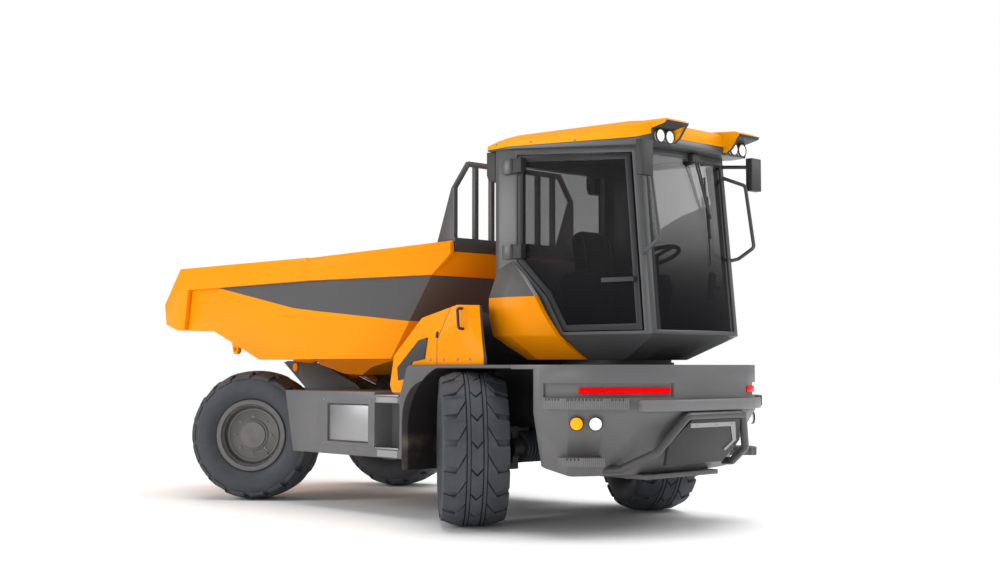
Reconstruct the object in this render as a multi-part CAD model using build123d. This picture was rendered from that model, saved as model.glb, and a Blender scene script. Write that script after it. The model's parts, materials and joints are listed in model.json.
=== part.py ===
from build123d import *
import math
import os

# A rotating dumper: a four-wheel-steered site dumper whose cab turns all the way round.
# Millimetres, +Z up, the skip at -X, the lamps and the bumper at +X, the door at -Y.

# Driving sizes of the whole machine
WHEELBASE = 3150
TRACK = 1900
FRONT_AXLE_X = -1675
REAR_AXLE_X = FRONT_AXLE_X + WHEELBASE
TYRE_DIAMETER = 1170
TYRE_WIDTH = 500
HUB_Z = TYRE_DIAMETER / 2
DECK_Z = 1220
FIT = 0.05
SEAT_GAP = 0.3
PLAY = 1

# Wheels and steering
KINGPIN_Y = 770
WHEEL_OFFSET = TRACK / 2 - KINGPIN_Y
INNER_STEER = 38
OUTER_STEER = 27
TYRE_SWEEP = 705
LUG_COUNT = 18
LUG_DEPTH = 32
LUG_ROOT = 14
CARCASS_SIDES = 2 * LUG_COUNT
LUG_SECTIONS = [
    # across from the middle, start and end along the tread, drop from the tip
    (40, -52, 22, 4),
    (140, -8, 84, 7),
    (205, -22, 70, 12),
    (244, -38, 56, 44),
]
BEAD_RADIUS = 300
BEAD_HALF = 185
FLANGE_RADIUS = 322
FLANGE_WIDTH = 20
RIM_WALL = 18
DISC_THICKNESS = 24
DISC_INSET = 96
HUB_RADIUS = 140
HUB_FACE = 40
STUB_RADIUS = 45
SPINDLE_RADIUS = 85
POST_RADIUS = 55
POST_HALF = 118
PIN_RADIUS = 30
PIN_HALF = 164
FORK_PLATE = 44
FORK_REACH = 62
FORK_WEB_OUT = 640
ARM_LENGTH = 170
ARM_TOP = -30
ARM_THICKNESS = 30
ROD_RADIUS = 22
ROD_X = 155
ROD_EYE = 38
BARREL_RADIUS = 46
BARREL_HALF = 240

# Frame
RAIL_Y = 300
RAIL_THICKNESS = 60
RAIL_BOTTOM = 720
RAIL_TOP = 1000
RAIL_FRONT_X = -2080
RAIL_REAR_X = 2360

# Cab turning on its ring
SWING_X = 2050
CAB_SWEEP = 1085
RING_RADIUS = 430
RING_HEIGHT = 18
CAB_FLOOR_Z = 1257
SILL_Z = 1440
GLASS_TOP_Z = 2780
GLASS = 12
PILLAR = 70

# Skip
SKIP_HALF_FRONT = 1050
SKIP_HALF_REAR = 716
SKIP_LEAN = 97
SKIP_WALL = 20
SKIP_FLOOR_Z = 1270
SKIP_TOP_Z = 2220
SKIP_FOLD_X = -574
SKIP_REAR_X = 920
RIM_PROUD = 45
RIM_DEPTH = 190
HINGE_X = -1850
HINGE_Z = 1200
HINGE_PIN = 40

# Tipping cylinders
RAM_BASE_X = -350
RAM_BASE_Z = 800
RAM_EYE_X = -1400
RAM_EYE_Z = 1150
RAM_Y = 130
RAM_BARREL = 58
RAM_ROD = 34
RAM_PIN = 28
RAM_BARREL_LENGTH = 760

PARTS = {}


def side_prism(outline, y_from, y_to):
    """A solid whose outline lies in X and Z, run along Y."""
    face = make_face(Polyline(*[(x, y_from, z) for x, z in outline], close=True))
    return extrude(face, amount=y_to - y_from, dir=(0, 1, 0))


def plan_prism(outline, z_from, z_to):
    """A solid whose outline lies in X and Y, run up Z."""
    face = make_face(Polyline(*[(x, y, z_from) for x, y in outline], close=True))
    return extrude(face, amount=z_to - z_from, dir=(0, 0, 1))


def end_prism(outline, x_from, x_to):
    """A solid whose outline lies in Y and Z, run along X."""
    face = make_face(Polyline(*[(x_from, y, z) for y, z in outline], close=True))
    return extrude(face, amount=x_to - x_from, dir=(1, 0, 0))


def block(x_from, x_to, y_from, y_to, z_from, z_to):
    """A box between two corners."""
    corner = (Align.MIN, Align.MIN, Align.MIN)
    return Pos(x_from, y_from, z_from) * Box(x_to - x_from, y_to - y_from, z_to - z_from, align=corner)


def bar(start, end, radius):
    """A round bar between two points."""
    run = Vector(*end) - Vector(*start)
    place = Plane(origin=start, z_dir=run)
    return place * Cylinder(radius, run.length, align=(Align.CENTER, Align.CENTER, Align.MIN))


def tube_run(points, radius, bend):
    """A round bar bent along points, each corner an arc."""
    path = FilletPolyline(*points, radius=bend)
    ring = Plane(origin=points[0], z_dir=path % 0) * Circle(radius)
    return sweep(ring, path=path)


def far_side(shape):
    """The same piece on the other side of the machine."""
    return mirror(shape, about=Plane.XZ)


def both_sides(outline):
    """A closed plan outline from its half on the +Y side, listed from front to rear."""
    return outline + [(x, -y) for x, y in reversed(outline) if y > 0]


def prism_loft(low, low_z, high, high_z):
    """A straight-sided solid between two level outlines."""
    sections = []
    for outline, z in ((low, low_z), (high, high_z)):
        sections.append(make_face(Polyline(*[(x, y, z) for x, y in outline], close=True)))
    return loft(sections, ruled=True)


def inset(outline, distance):
    """A closed outline moved inwards by a distance, each side kept parallel."""
    moved = []
    count = len(outline)
    area = sum(outline[i - 1][0] * outline[i][1] - outline[i][0] * outline[i - 1][1] for i in range(count))
    turn = 1 if area > 0 else -1
    for i in range(count):
        before, here, after = outline[i - 1], outline[i], outline[(i + 1) % count]
        sides = []
        for a, b in ((before, here), (here, after)):
            length = math.hypot(b[0] - a[0], b[1] - a[1])
            normal = (-(b[1] - a[1]) / length * turn, (b[0] - a[0]) / length * turn)
            sides.append((a[0] + normal[0] * distance, a[1] + normal[1] * distance, b[0] - a[0], b[1] - a[1]))
        (px, py, ux, uy), (qx, qy, vx, vy) = sides
        cross = ux * vy - uy * vx
        reach = ((qx - px) * vy - (qy - py) * vx) / cross
        moved.append((px + ux * reach, py + uy * reach))
    return moved


def keep(name, *solids):
    """Hold a node's solids under its name."""
    PARTS[name] = list(solids)


# Wheels: a tyre on a dished rim, made once about the wheel's own axis, outside at +Y
def wheel_ring(radius, along):
    """A many-sided face across the wheel's axis."""
    return Plane(origin=(0, along, 0), z_dir=(0, 1, 0)) * RegularPolygon(radius, CARCASS_SIDES)


def make_lug(side):
    """One bar of the tread on one side, straight between its sections."""
    tip = TYRE_DIAMETER / 2
    sections = []
    for across, start, end, drop in LUG_SECTIONS:
        foot, top = tip - LUG_DEPTH - drop - LUG_ROOT, tip - drop
        corners = [(start, foot), (end, foot), (end, top), (start, top)]
        sections.append(make_face(Polyline(*[(x, side * across, z) for x, z in corners], close=True)))
    return loft(sections, ruled=True)


def make_tyre():
    half = TYRE_WIDTH / 2
    crown = TYRE_DIAMETER / 2 - LUG_DEPTH
    side = [(FLANGE_RADIUS + 2, -BEAD_HALF), (crown - 120, -half), (crown - 8, 35 - half)]
    rings = side + [(radius, -along) for radius, along in reversed(side)]
    tyre = loft([wheel_ring(radius, along) for radius, along in rings], ruled=True)
    for index in range(LUG_COUNT):
        for turn, side in ((index, -1), (index + 0.5, 1)):
            tyre += Rot(0, 360 * turn / LUG_COUNT, 0) * make_lug(side)
    return tyre - bar((0, -half, 0), (0, half, 0), BEAD_RADIUS)


def make_rim():
    outer = BEAD_RADIUS - SEAT_GAP
    inner = outer - RIM_WALL
    lip_from = BEAD_HALF + SEAT_GAP
    lip_to = lip_from + FLANGE_WIDTH
    disc_out = DISC_INSET + DISC_THICKNESS
    outline = [
        (inner, -lip_to), (FLANGE_RADIUS, -lip_to), (FLANGE_RADIUS, -lip_from), (outer, -lip_from),
        (outer, lip_from), (FLANGE_RADIUS, lip_from), (FLANGE_RADIUS, lip_to), (inner, lip_to),
        (inner, DISC_INSET), (inner - 50, disc_out), (HUB_RADIUS, disc_out), (HUB_RADIUS, disc_out + 12),
        (STUB_RADIUS + FIT, disc_out + 12), (STUB_RADIUS + FIT, HUB_FACE), (HUB_RADIUS, HUB_FACE),
        (HUB_RADIUS, DISC_INSET), (inner - 60, DISC_INSET), (inner, DISC_INSET - 40),
    ]
    return revolve(make_face(Polyline(*outline, close=True)), axis=Axis.Y)


# Knuckle: a post on two pins, the spindle that carries the wheel and the steering arm
def make_knuckle(arm_side):
    hub_y = WHEEL_OFFSET + HUB_FACE - PLAY
    post = bar((0, 0, -POST_HALF), (0, 0, POST_HALF), POST_RADIUS)
    pins = bar((0, 0, -PIN_HALF), (0, 0, PIN_HALF), PIN_RADIUS)
    spindle = bar((0, 0, 0), (0, hub_y, 0), SPINDLE_RADIUS)
    stub = bar((0, 0, 0), (0, hub_y + 70, 0), STUB_RADIUS)
    arm_low = ARM_TOP - ARM_THICKNESS
    arm = block(min(0, arm_side * ARM_LENGTH), max(0, arm_side * ARM_LENGTH), -32, 32, arm_low, ARM_TOP)
    eye = bar((arm_side * ARM_LENGTH, 0, arm_low), (arm_side * ARM_LENGTH, 0, ARM_TOP), 42)
    return post + pins + spindle + stub + arm + eye


CORNERS = [
    # name, axle x, side of the machine, side of the steering arm, steer at rest
    ("front_near", FRONT_AXLE_X, -1, 1, INNER_STEER),
    ("front_far", FRONT_AXLE_X, 1, 1, OUTER_STEER),
    ("rear_near", REAR_AXLE_X, -1, -1, -INNER_STEER),
    ("rear_far", REAR_AXLE_X, 1, -1, -OUTER_STEER),
]
TYRE = make_tyre()
RIM = make_rim()
for name, axle_x, side, arm_side, steer in CORNERS:
    kingpin = Pos(axle_x, side * KINGPIN_Y, HUB_Z) * Rot(0, 0, steer)
    pieces = {"tyre": Pos(0, WHEEL_OFFSET, 0) * TYRE, "rim": Pos(0, WHEEL_OFFSET, 0) * RIM}
    pieces["knuckle"] = make_knuckle(arm_side)
    for piece, shape in pieces.items():
        keep(f"{piece}_{name}", kingpin * (shape if side > 0 else far_side(shape)))


# Axles: a beam that swells to the differential, forks for the kingpins, the steering barrel
def make_axle(axle_x, arm_side):
    swell = [
        (0, -FORK_WEB_OUT), (90, -FORK_WEB_OUT), (95, -300), (165, -150), (175, 0),
        (165, 150), (95, 300), (90, FORK_WEB_OUT), (0, FORK_WEB_OUT),
    ]
    axle = revolve(make_face(Polyline(*swell, close=True)), axis=Axis.Y)
    plate_from = POST_HALF + PLAY
    plate_to = plate_from + FORK_PLATE
    for side in (-1, 1):
        web = sorted((side * (FORK_WEB_OUT - 60), side * FORK_WEB_OUT))
        axle += block(-58, 58, web[0], web[1], -plate_to, plate_to)
        for low in (-plate_to, plate_from):
            reach = sorted((side * (FORK_WEB_OUT - 60), side * KINGPIN_Y))
            axle += block(-58, 58, reach[0], reach[1], low, low + FORK_PLATE)
            axle += Pos(0, side * KINGPIN_Y, low) * Cylinder(
                FORK_REACH, FORK_PLATE, align=(Align.CENTER, Align.CENTER, Align.MIN))
        axle -= bar(
            (0, side * KINGPIN_Y, -PIN_HALF - 9), (0, side * KINGPIN_Y, PIN_HALF + 9), PIN_RADIUS + FIT,
        )
        pad = sorted((side * (RAIL_Y - RAIL_THICKNESS), side * RAIL_Y))
        axle += block(-110, 110, pad[0], pad[1], 0, RAIL_BOTTOM - HUB_Z)
    rod_z = ARM_TOP - ARM_THICKNESS - 6 - ROD_RADIUS
    rod_x = arm_side * ROD_X
    axle += bar((rod_x, -BARREL_HALF, rod_z), (rod_x, BARREL_HALF, rod_z), BARREL_RADIUS)
    axle -= bar((rod_x, -BARREL_HALF - 1, rod_z), (rod_x, BARREL_HALF + 1, rod_z), ROD_RADIUS + FIT)
    return Pos(axle_x, 0, HUB_Z) * axle


def make_steer_rod(axle_x, arm_side):
    rod_z = ARM_TOP - ARM_THICKNESS - 6 - ROD_RADIUS
    near_end = -KINGPIN_Y + ARM_LENGTH * math.sin(math.radians(INNER_STEER))
    far_end = KINGPIN_Y + ARM_LENGTH * math.sin(math.radians(OUTER_STEER))
    x = axle_x + arm_side * ROD_X
    rod = bar((x, near_end, HUB_Z + rod_z), (x, far_end, HUB_Z + rod_z), ROD_RADIUS)
    for end in (near_end, far_end):
        rod += Pos(x, end, HUB_Z + rod_z) * Cylinder(ROD_EYE, 2 * ROD_RADIUS - 8)
    return rod


keep("front_axle", make_axle(FRONT_AXLE_X, 1))
keep("rear_axle", make_axle(REAR_AXLE_X, -1))
keep("front_steer_rod", make_steer_rod(FRONT_AXLE_X, 1))
keep("rear_steer_rod", make_steer_rod(REAR_AXLE_X, -1))


# Frame: two rails, cross boxes, the foot of the tipping cylinders and the tower under the cab
FENDER_IN = 560
TOWER_FRONT_X = 1640
TOWER_REAR_X = 2340
RAIL_INSIDE = RAIL_Y - RAIL_THICKNESS
CROSS_X = [
    # front, rear, bottom, top of each cross box
    (RAIL_FRONT_X, RAIL_FRONT_X + 120, 760, 1000),
    (-260, 460, 760, 1000),
    (900, 1180, 800, 1000),
    (TOWER_FRONT_X, TOWER_REAR_X, 800, DECK_Z),
]
frame = None
for side in (-1, 1):
    y = sorted((side * RAIL_INSIDE, side * RAIL_Y))
    rail = block(RAIL_FRONT_X, RAIL_REAR_X, y[0], y[1], RAIL_BOTTOM, RAIL_TOP)
    frame = rail if frame is None else frame + rail
for x_from, x_to, z_from, z_to in CROSS_X:
    frame += block(x_from, x_to, -RAIL_Y, RAIL_Y, z_from, z_to)
DECK_WING_X = (960, 1930)
DECK_PLATE = 32
for side in (-1, 1):
    y = sorted((side * RAIL_INSIDE, side * (FENDER_IN - 2)))
    frame += block(DECK_WING_X[0], DECK_WING_X[1], y[0], y[1], DECK_Z - DECK_PLATE, DECK_Z)
    y = sorted((side * RAIL_INSIDE, side * RAIL_Y))
    frame += block(DECK_WING_X[0], TOWER_FRONT_X, y[0], y[1], RAIL_TOP, DECK_Z - DECK_PLATE)
for y in (-RAM_Y, RAM_Y):
    for edge in (-72, 46):
        ear = block(RAM_BASE_X - 60, -250, y + edge, y + edge + 26, RAM_BASE_Z - 40, RAM_BASE_Z + 60)
        frame += ear
    frame += bar((RAM_BASE_X, y - 60, RAM_BASE_Z), (RAM_BASE_X, y + 60, RAM_BASE_Z), RAM_PIN)
keep("main_frame", frame)

# Engine: one plain block across the frame between the skip and the cab
ENGINE_X = (595, 925)
ENGINE_HALF = 540
ENGINE_TOP = 1300
keep("engine_block", block(ENGINE_X[0], ENGINE_X[1], -ENGINE_HALF, ENGINE_HALF, RAIL_TOP, ENGINE_TOP))

# Rear fenders: an arch over each rear wheel with a leg before it
FENDER_Y = 1050
FENDER_FRONT_X = 680
FENDER_REAR_X = 1940
FENDER_ROOF = 1188
ARCH_FRONT_X = REAR_AXLE_X - TYRE_SWEEP - 5
fender_lines = [
    Polyline((ARCH_FRONT_X, 0, 390), (FENDER_FRONT_X + 10, 0, 390), (FENDER_FRONT_X - 20, 0, 980)),
    Polyline((FENDER_FRONT_X - 20, 0, 980), (FENDER_FRONT_X + 60, 0, 1200), (FENDER_FRONT_X + 90, 0, DECK_Z)),
    Polyline((FENDER_FRONT_X + 90, 0, DECK_Z), (FENDER_REAR_X, 0, DECK_Z), (FENDER_REAR_X, 0, FENDER_ROOF)),
    Line((FENDER_REAR_X, 0, FENDER_ROOF), (ARCH_FRONT_X + 345, 0, FENDER_ROOF)),
    ThreePointArc((ARCH_FRONT_X + 345, 0, FENDER_ROOF), (ARCH_FRONT_X + 98, 0, 1010), (ARCH_FRONT_X, 0, 700)),
    Line((ARCH_FRONT_X, 0, 700), (ARCH_FRONT_X, 0, 390)),
]
fender_face = make_face(fender_lines)
near_fender = Pos(0, -FENDER_Y, 0) * extrude(fender_face, amount=FENDER_Y - FENDER_IN, dir=(0, 1, 0))
keep("rear_fenders", near_fender, far_side(near_fender))

# Side boxes between the wheels, scooped for the front wheels, with a step column
BOX_Y = 1010
BOX_FRONT_X = -990
BOX_REAR_X = 640
BOX_TOP = RAIL_TOP
BOX_BOTTOM = 470
STEP_X = (290, 610)
STEP_DEPTH = 190
box_outline = [
    (BOX_FRONT_X, BOX_TOP), (BOX_FRONT_X + 130, BOX_BOTTOM), (BOX_REAR_X, BOX_BOTTOM),
    (BOX_REAR_X, BOX_TOP),
]
near_box = side_prism(box_outline, -BOX_Y, -RAIL_Y)
tyre_scoop = Pos(FRONT_AXLE_X, -KINGPIN_Y, BOX_BOTTOM - 10) * Cylinder(
    TYRE_SWEEP + 15, 600, align=(Align.CENTER, Align.CENTER, Align.MIN))
near_box -= tyre_scoop
TREAD_DROP = 34
near_box -= block(STEP_X[0], STEP_X[1], -BOX_Y - 1, -BOX_Y + STEP_DEPTH, BOX_BOTTOM + 70, BOX_TOP - 90)
near_box -= block(STEP_X[0], STEP_X[1], -BOX_Y - 1, -BOX_Y + STEP_DEPTH, BOX_TOP - TREAD_DROP, BOX_TOP + 1)
PANEL_X = (-345, 190)
PANEL_Z = (590, 885)
near_box -= block(PANEL_X[0] - 12, PANEL_X[1] + 12, -BOX_Y - 1, -BOX_Y + 30, PANEL_Z[0] - 12, PANEL_Z[1] + 12)
keep("side_boxes", near_box, far_side(near_box))

# Bright plates on the side boxes: an inset panel and two step treads a side
panel = block(PANEL_X[0], PANEL_X[1], -BOX_Y + 14, -BOX_Y + 30, PANEL_Z[0], PANEL_Z[1])
plates = [panel]
for z in (BOX_TOP - TREAD_DROP, BOX_BOTTOM + 70):
    plates.append(block(STEP_X[0] + 10, STEP_X[1] - 10, -BOX_Y, -BOX_Y + STEP_DEPTH - 30, z, z + 12))
keep("side_plates", *plates, *[far_side(plate) for plate in plates])

# Engine hood: one hollow cover across the machine, hollowed round the turning cab
HOOD_Y = 1000
HOOD_WALL = 25
hood_outline = [
    (504, BOX_TOP), (478, 1060), (527, 1293), (875, 1590), (1291, 1680), (1640, 1668), (1845, 1250),
    (1845, DECK_Z), (FENDER_FRONT_X + 90, DECK_Z), (FENDER_FRONT_X + 56, 1200),
    (FENDER_FRONT_X - 20, BOX_TOP),
]
hood_inner = [
    (530, 900), (505, 1063), (550, 1280), (886, 1566), (1291, 1654), (1622, 1643), (1815, 1245),
    (1815, DECK_Z - 300), (900, 900),
]
swing_clear = Pos(SWING_X, 0, DECK_Z) * Cylinder(
    CAB_SWEEP, 900, align=(Align.CENTER, Align.CENTER, Align.MIN),
)
swing_wall = Pos(SWING_X, 0, DECK_Z) * Cylinder(
    CAB_SWEEP + HOOD_WALL, 900, align=(Align.CENTER, Align.CENTER, Align.MIN))
hood = side_prism(hood_outline, -HOOD_Y, HOOD_Y) - swing_clear
hood_space = side_prism(hood_inner, -HOOD_Y + HOOD_WALL, HOOD_Y - HOOD_WALL) - swing_wall
FLANK_X = 1700
FLANK_Y = 1550
FLANK_RADIUS = 548
FLANK_FLARE = 100
FLANK_HEIGHT = 450
SLOT_COUNT = 6
SLOT_PITCH = 34
SLOT_WIDTH = 15
SLOT_Y = (845, 955)
SLOPE_LOW = (527, 1293)
SLOPE_HIGH = (875, 1590)
slope = math.degrees(math.atan2(SLOPE_HIGH[1] - SLOPE_LOW[1], SLOPE_HIGH[0] - SLOPE_LOW[0]))
slot_at = Pos((SLOPE_LOW[0] + SLOPE_HIGH[0]) / 2, 0, (SLOPE_LOW[1] + SLOPE_HIGH[1]) / 2) * Rot(0, -slope, 0)
for side in (-1, 1):
    flank_at = Pos(FLANK_X, side * FLANK_Y, DECK_Z + 20)
    flank_align = (Align.CENTER, Align.CENTER, Align.MIN)
    hood -= flank_at * Cone(FLANK_RADIUS, FLANK_RADIUS + FLANK_FLARE, FLANK_HEIGHT, align=flank_align)
    grown = FLANK_RADIUS + HOOD_WALL
    hood_space -= flank_at * Cone(grown, grown + FLANK_FLARE, FLANK_HEIGHT + HOOD_WALL, align=flank_align)
    for index in range(SLOT_COUNT):
        y = side * (SLOT_Y[0] + SLOT_Y[1]) / 2
        along = (index - (SLOT_COUNT - 1) / 2) * SLOT_PITCH
        hood -= slot_at * Pos(along, y, 0) * Box(SLOT_WIDTH, SLOT_Y[1] - SLOT_Y[0], 4 * HOOD_WALL)
keep("engine_hood", hood - hood_space)

# Vent panels and grab handles on the hood
vent_outline = [(590, 1095), (580, 1200), (845, 1415), (950, 1435), (915, 1265), (765, 1245), (672, 1110)]
near_vent = side_prism(vent_outline, -HOOD_Y - 10, -HOOD_Y)
HANDLE_OUT = HOOD_Y + 50
HANDLE_POINTS = [
    (1365, -HOOD_Y, 1495), (1365, -HANDLE_OUT, 1495), (1352, -HANDLE_OUT, 1650), (1352, -HOOD_Y, 1650),
]
near_handle = tube_run(HANDLE_POINTS, 11, 22)
keep("hood_trim", near_vent, far_side(near_vent), near_handle, far_side(near_handle))

# Rear bumper: a faceted hollow shell from the fenders round the tail
BUMPER_LOW = 430
BUMPER_MID = 880
BUMPER_WALL = 45
BUMPER_FRONT_X = REAR_AXLE_X + TYRE_SWEEP + 8
bumper_high = [
    (FENDER_REAR_X, FENDER_Y), (2250, 1075), (2480, 1020), (2720, 840), (2850, 669), (2945, 447),
    (2954, 0),
]
bumper_low = [
    (FENDER_REAR_X, 960), (2230, 980), (2390, 930), (2480, 780), (2540, 600), (2590, 400), (2603, 0),
]
high = both_sides(bumper_high)
low = both_sides(bumper_low)
shell = prism_loft(low, BUMPER_LOW, high, BUMPER_MID) + plan_prism(high, BUMPER_MID, DECK_Z)
room = prism_loft(inset(low, BUMPER_WALL), BUMPER_LOW - 1, inset(high, BUMPER_WALL), BUMPER_MID)
room += plan_prism(inset(high, BUMPER_WALL), BUMPER_MID, FENDER_ROOF)
bumper = shell - room
bumper -= block(FENDER_REAR_X - 10, BUMPER_FRONT_X, -1300, 1300, BUMPER_LOW - 10, FENDER_ROOF)
bumper -= block(FENDER_REAR_X - 10, RAIL_REAR_X + 5, -RAIL_Y - 5, RAIL_Y + 5, BUMPER_LOW - 10, DECK_Z + 5)
BUMPER_TUCK = [(2150, BUMPER_LOW - 1), (2150, 505), (2410, BUMPER_LOW - 1)]
bumper -= side_prism(BUMPER_TUCK, -1300, 1300)
bumper_web = block(BUMPER_FRONT_X, BUMPER_FRONT_X + 30, -960, 960, 640, FENDER_ROOF)
bumper_web -= block(BUMPER_FRONT_X - 5, BUMPER_FRONT_X + 40, -RAIL_Y - 5, RAIL_Y + 5, 600, DECK_Z + 5)
for side in (-1, 1):
    y = sorted((side * RAIL_Y, side * (RAIL_Y + 60)))
    bumper += block(BUMPER_FRONT_X, BUMPER_FRONT_X + 120, y[0], y[1], RAIL_BOTTOM, FENDER_ROOF)
LAMP_RECESS = 22
RECESS_Z = (990, 1088)
recess = plan_prism(inset(high, -50), *RECESS_Z) - plan_prism(inset(high, LAMP_RECESS), *RECESS_Z)
near_recess = recess & block(2285, 3100, -1200, -420, *RECESS_Z)
keep("rear_bumper", bumper + bumper_web - near_recess - far_side(near_recess))

# Ring that the cab turns on
ring_at = Pos(SWING_X, 0, DECK_Z)
keep(
    "slew_ring_base",
    ring_at * Cylinder(RING_RADIUS, RING_HEIGHT, align=(Align.CENTER, Align.CENTER, Align.MIN)),
)

# Skip support: two side plates over the front axle, joined by a top plate, with the tipping hinge
SUPPORT_PLATE = 40
SUPPORT_TOP = 1240
support_outline = [
    (HINGE_X - 205, HINGE_Z + 50), (HINGE_X - 130, HINGE_Z + 62), (HINGE_X + 90, SUPPORT_TOP),
    (-1450, SUPPORT_TOP), (-900, 1050), (-820, RAIL_TOP), (-1680, RAIL_TOP),
]
support = None
for side in (-1, 1):
    y = sorted((side * (RAIL_Y - SUPPORT_PLATE), side * RAIL_Y))
    plate = side_prism(support_outline, y[0], y[1])
    plate -= bar((HINGE_X, y[0] - 1, HINGE_Z), (HINGE_X, y[1] + 1, HINGE_Z), HINGE_PIN + FIT)
    support = plate if support is None else support + plate
support += block(-1660, -1560, -RAIL_Y, RAIL_Y, RAIL_TOP, 1090)
keep("skip_support", support)


# Skip: leaning sides that close in towards the rear, an open chute at the front
def skip_plan(offset, lean):
    front = SKIP_HALF_FRONT + offset - lean
    rear = SKIP_HALF_REAR + offset - lean
    slope = (SKIP_HALF_FRONT - SKIP_HALF_REAR) / (SKIP_REAR_X - SKIP_FOLD_X)
    past = 200
    return both_sides([(-3400, front), (SKIP_FOLD_X, front), (SKIP_REAR_X + past, rear - slope * past)])


def skip_body(offset):
    return prism_loft(
        skip_plan(offset, SKIP_LEAN), SKIP_FLOOR_Z - 40, skip_plan(offset, -10), SKIP_TOP_Z + 90,
    )


LIP_X = -3040
CHUTE_Z = 1552
BELLY_FRONT_X = -1496
BELLY_REAR_X = 215
CHUTE_REAR_X = -2239
LIP_BASE_X = -2830
REAR_KNEE = (690, 1950)
RIM_FRONT = (-2690, 2152)
RIM_FOLD_Z = 2140
floor_line = [
    (LIP_BASE_X, CHUTE_Z + 8), (CHUTE_REAR_X, CHUTE_Z - 7), (BELLY_FRONT_X, SKIP_FLOOR_Z),
    (BELLY_REAR_X, SKIP_FLOOR_Z),
]
rear_top = (SKIP_REAR_X, SKIP_TOP_Z - 5)
top_line = [rear_top, (SKIP_FOLD_X, RIM_FOLD_Z), RIM_FRONT]
lip_line = [(LIP_X + 10, 1820), (LIP_X + 10, 1628)]
skip_outline = floor_line + [REAR_KNEE] + top_line + lip_line
floor_in = [
    (-3300, CHUTE_Z + 40), (CHUTE_REAR_X + 6, CHUTE_Z + 14),
    (BELLY_FRONT_X + 6, SKIP_FLOOR_Z + SKIP_WALL),
]
rear_in = [
    (BELLY_REAR_X - 12, SKIP_FLOOR_Z + SKIP_WALL), (REAR_KNEE[0] - 24, REAR_KNEE[1]),
    (SKIP_REAR_X - 26, SKIP_TOP_Z + 5),
]
skip_space = floor_in + rear_in + [(SKIP_REAR_X - 26, 2500), (-3300, 2500)]
skip_solid = skip_body(0) & side_prism(skip_outline, -1400, 1400)
skip_hollow = skip_body(-SKIP_WALL) & side_prism(skip_space, -1400, 1400)
keep("skip_tub", skip_solid - skip_hollow)

# Rim: a box band along the top edge, down the slanted chute ends and across the rear
band_low_z = RIM_FOLD_Z - RIM_DEPTH
band = [
    (LIP_X, 1822), (LIP_X, 1624), (LIP_BASE_X, CHUTE_Z + 8), (-2700, 1572), (-2575, band_low_z),
    (SKIP_FOLD_X, band_low_z), (REAR_KNEE[0] + 40, REAR_KNEE[1]), (SKIP_REAR_X + 10, SKIP_TOP_Z - 105),
    (SKIP_REAR_X + 10, SKIP_TOP_Z), (SKIP_FOLD_X, RIM_FOLD_Z + 8), (RIM_FRONT[0], RIM_FRONT[1] + 8),
]
rim_solid = (skip_body(RIM_PROUD) & side_prism(band, -1400, 1400)) - skip_body(0)
REAR_BAND_TOP = 2135
REAR_BAND_PROUD = 45


def rear_wall_x(z):
    """Where the skip's sloping rear edge stands at a height."""
    return REAR_KNEE[0] + (SKIP_REAR_X - REAR_KNEE[0]) * (z - REAR_KNEE[1]) / (SKIP_TOP_Z - 5 - REAR_KNEE[1])


rear_band = [
    (REAR_KNEE[0], REAR_KNEE[1]), (REAR_KNEE[0] + REAR_BAND_PROUD, REAR_KNEE[1]),
    (rear_wall_x(REAR_BAND_TOP) + REAR_BAND_PROUD, REAR_BAND_TOP),
    (rear_wall_x(REAR_BAND_TOP), REAR_BAND_TOP),
]
rear_solid = side_prism(rear_band, -1400, 1400) & skip_body(0)
RIM_CHAMFER = 32
CHAMFER_PAST = 25


def rim_out(x, z):
    """How far the rim's outer face stands from the middle."""
    rise = (z - SKIP_FLOOR_Z + 40) / (SKIP_TOP_Z - SKIP_FLOOR_Z + 130)
    taper = (SKIP_HALF_FRONT - SKIP_HALF_REAR) / (SKIP_REAR_X - SKIP_FOLD_X) * (x - SKIP_FOLD_X)
    return SKIP_HALF_FRONT + RIM_PROUD - taper - SKIP_LEAN + (SKIP_LEAN + 10) * rise


wedge_ends = []
for x, z in ((SKIP_FOLD_X, RIM_FOLD_Z + 8), (SKIP_REAR_X + 10, SKIP_TOP_Z)):
    y = rim_out(x, z)
    high_point = (x, y - RIM_CHAMFER - CHAMFER_PAST, z + CHAMFER_PAST)
    low_point = (x, y + CHAMFER_PAST, z - RIM_CHAMFER - CHAMFER_PAST)
    past_point = (x, y + CHAMFER_PAST, z + CHAMFER_PAST)
    wedge_ends.append(make_face(Polyline(high_point, low_point, past_point, close=True)))
rim_wedge = loft(wedge_ends, ruled=True)
rim_solid = rim_solid - rim_wedge - far_side(rim_wedge)
keep("skip_rim", *rim_solid.solids(), *rear_solid.solids())

# Rear guard: a base plate across the rear edge, two tapered ends and bars under a top rail
GUARD_X = (880, 918)
GUARD_BASE_Z = 2215
GUARD_TOP_Z = 2880
GUARD_HALF = 700
GUARD_KNEE_Z = 2650
GUARD_TOP_HALF = 540
GUARD_BAR_Y = [90, 271, 452]
GUARD_BASE_HIGH = 30
guard_base = [
    (rear_wall_x(REAR_BAND_TOP), REAR_BAND_TOP), (rear_wall_x(REAR_BAND_TOP) + 40, REAR_BAND_TOP),
    (GUARD_X[1] + 12, 2185), (GUARD_X[1] + 12, GUARD_BASE_Z + GUARD_BASE_HIGH),
    (GUARD_X[0] - 30, GUARD_BASE_Z + GUARD_BASE_HIGH), (GUARD_X[0] - 30, GUARD_BASE_Z),
    (SKIP_REAR_X, GUARD_BASE_Z),
]
guard = side_prism(guard_base, -GUARD_HALF, GUARD_HALF) & skip_body(0)
guard += block(GUARD_X[0], GUARD_X[1], -GUARD_TOP_HALF, GUARD_TOP_HALF, GUARD_TOP_Z - 40, GUARD_TOP_Z)
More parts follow.
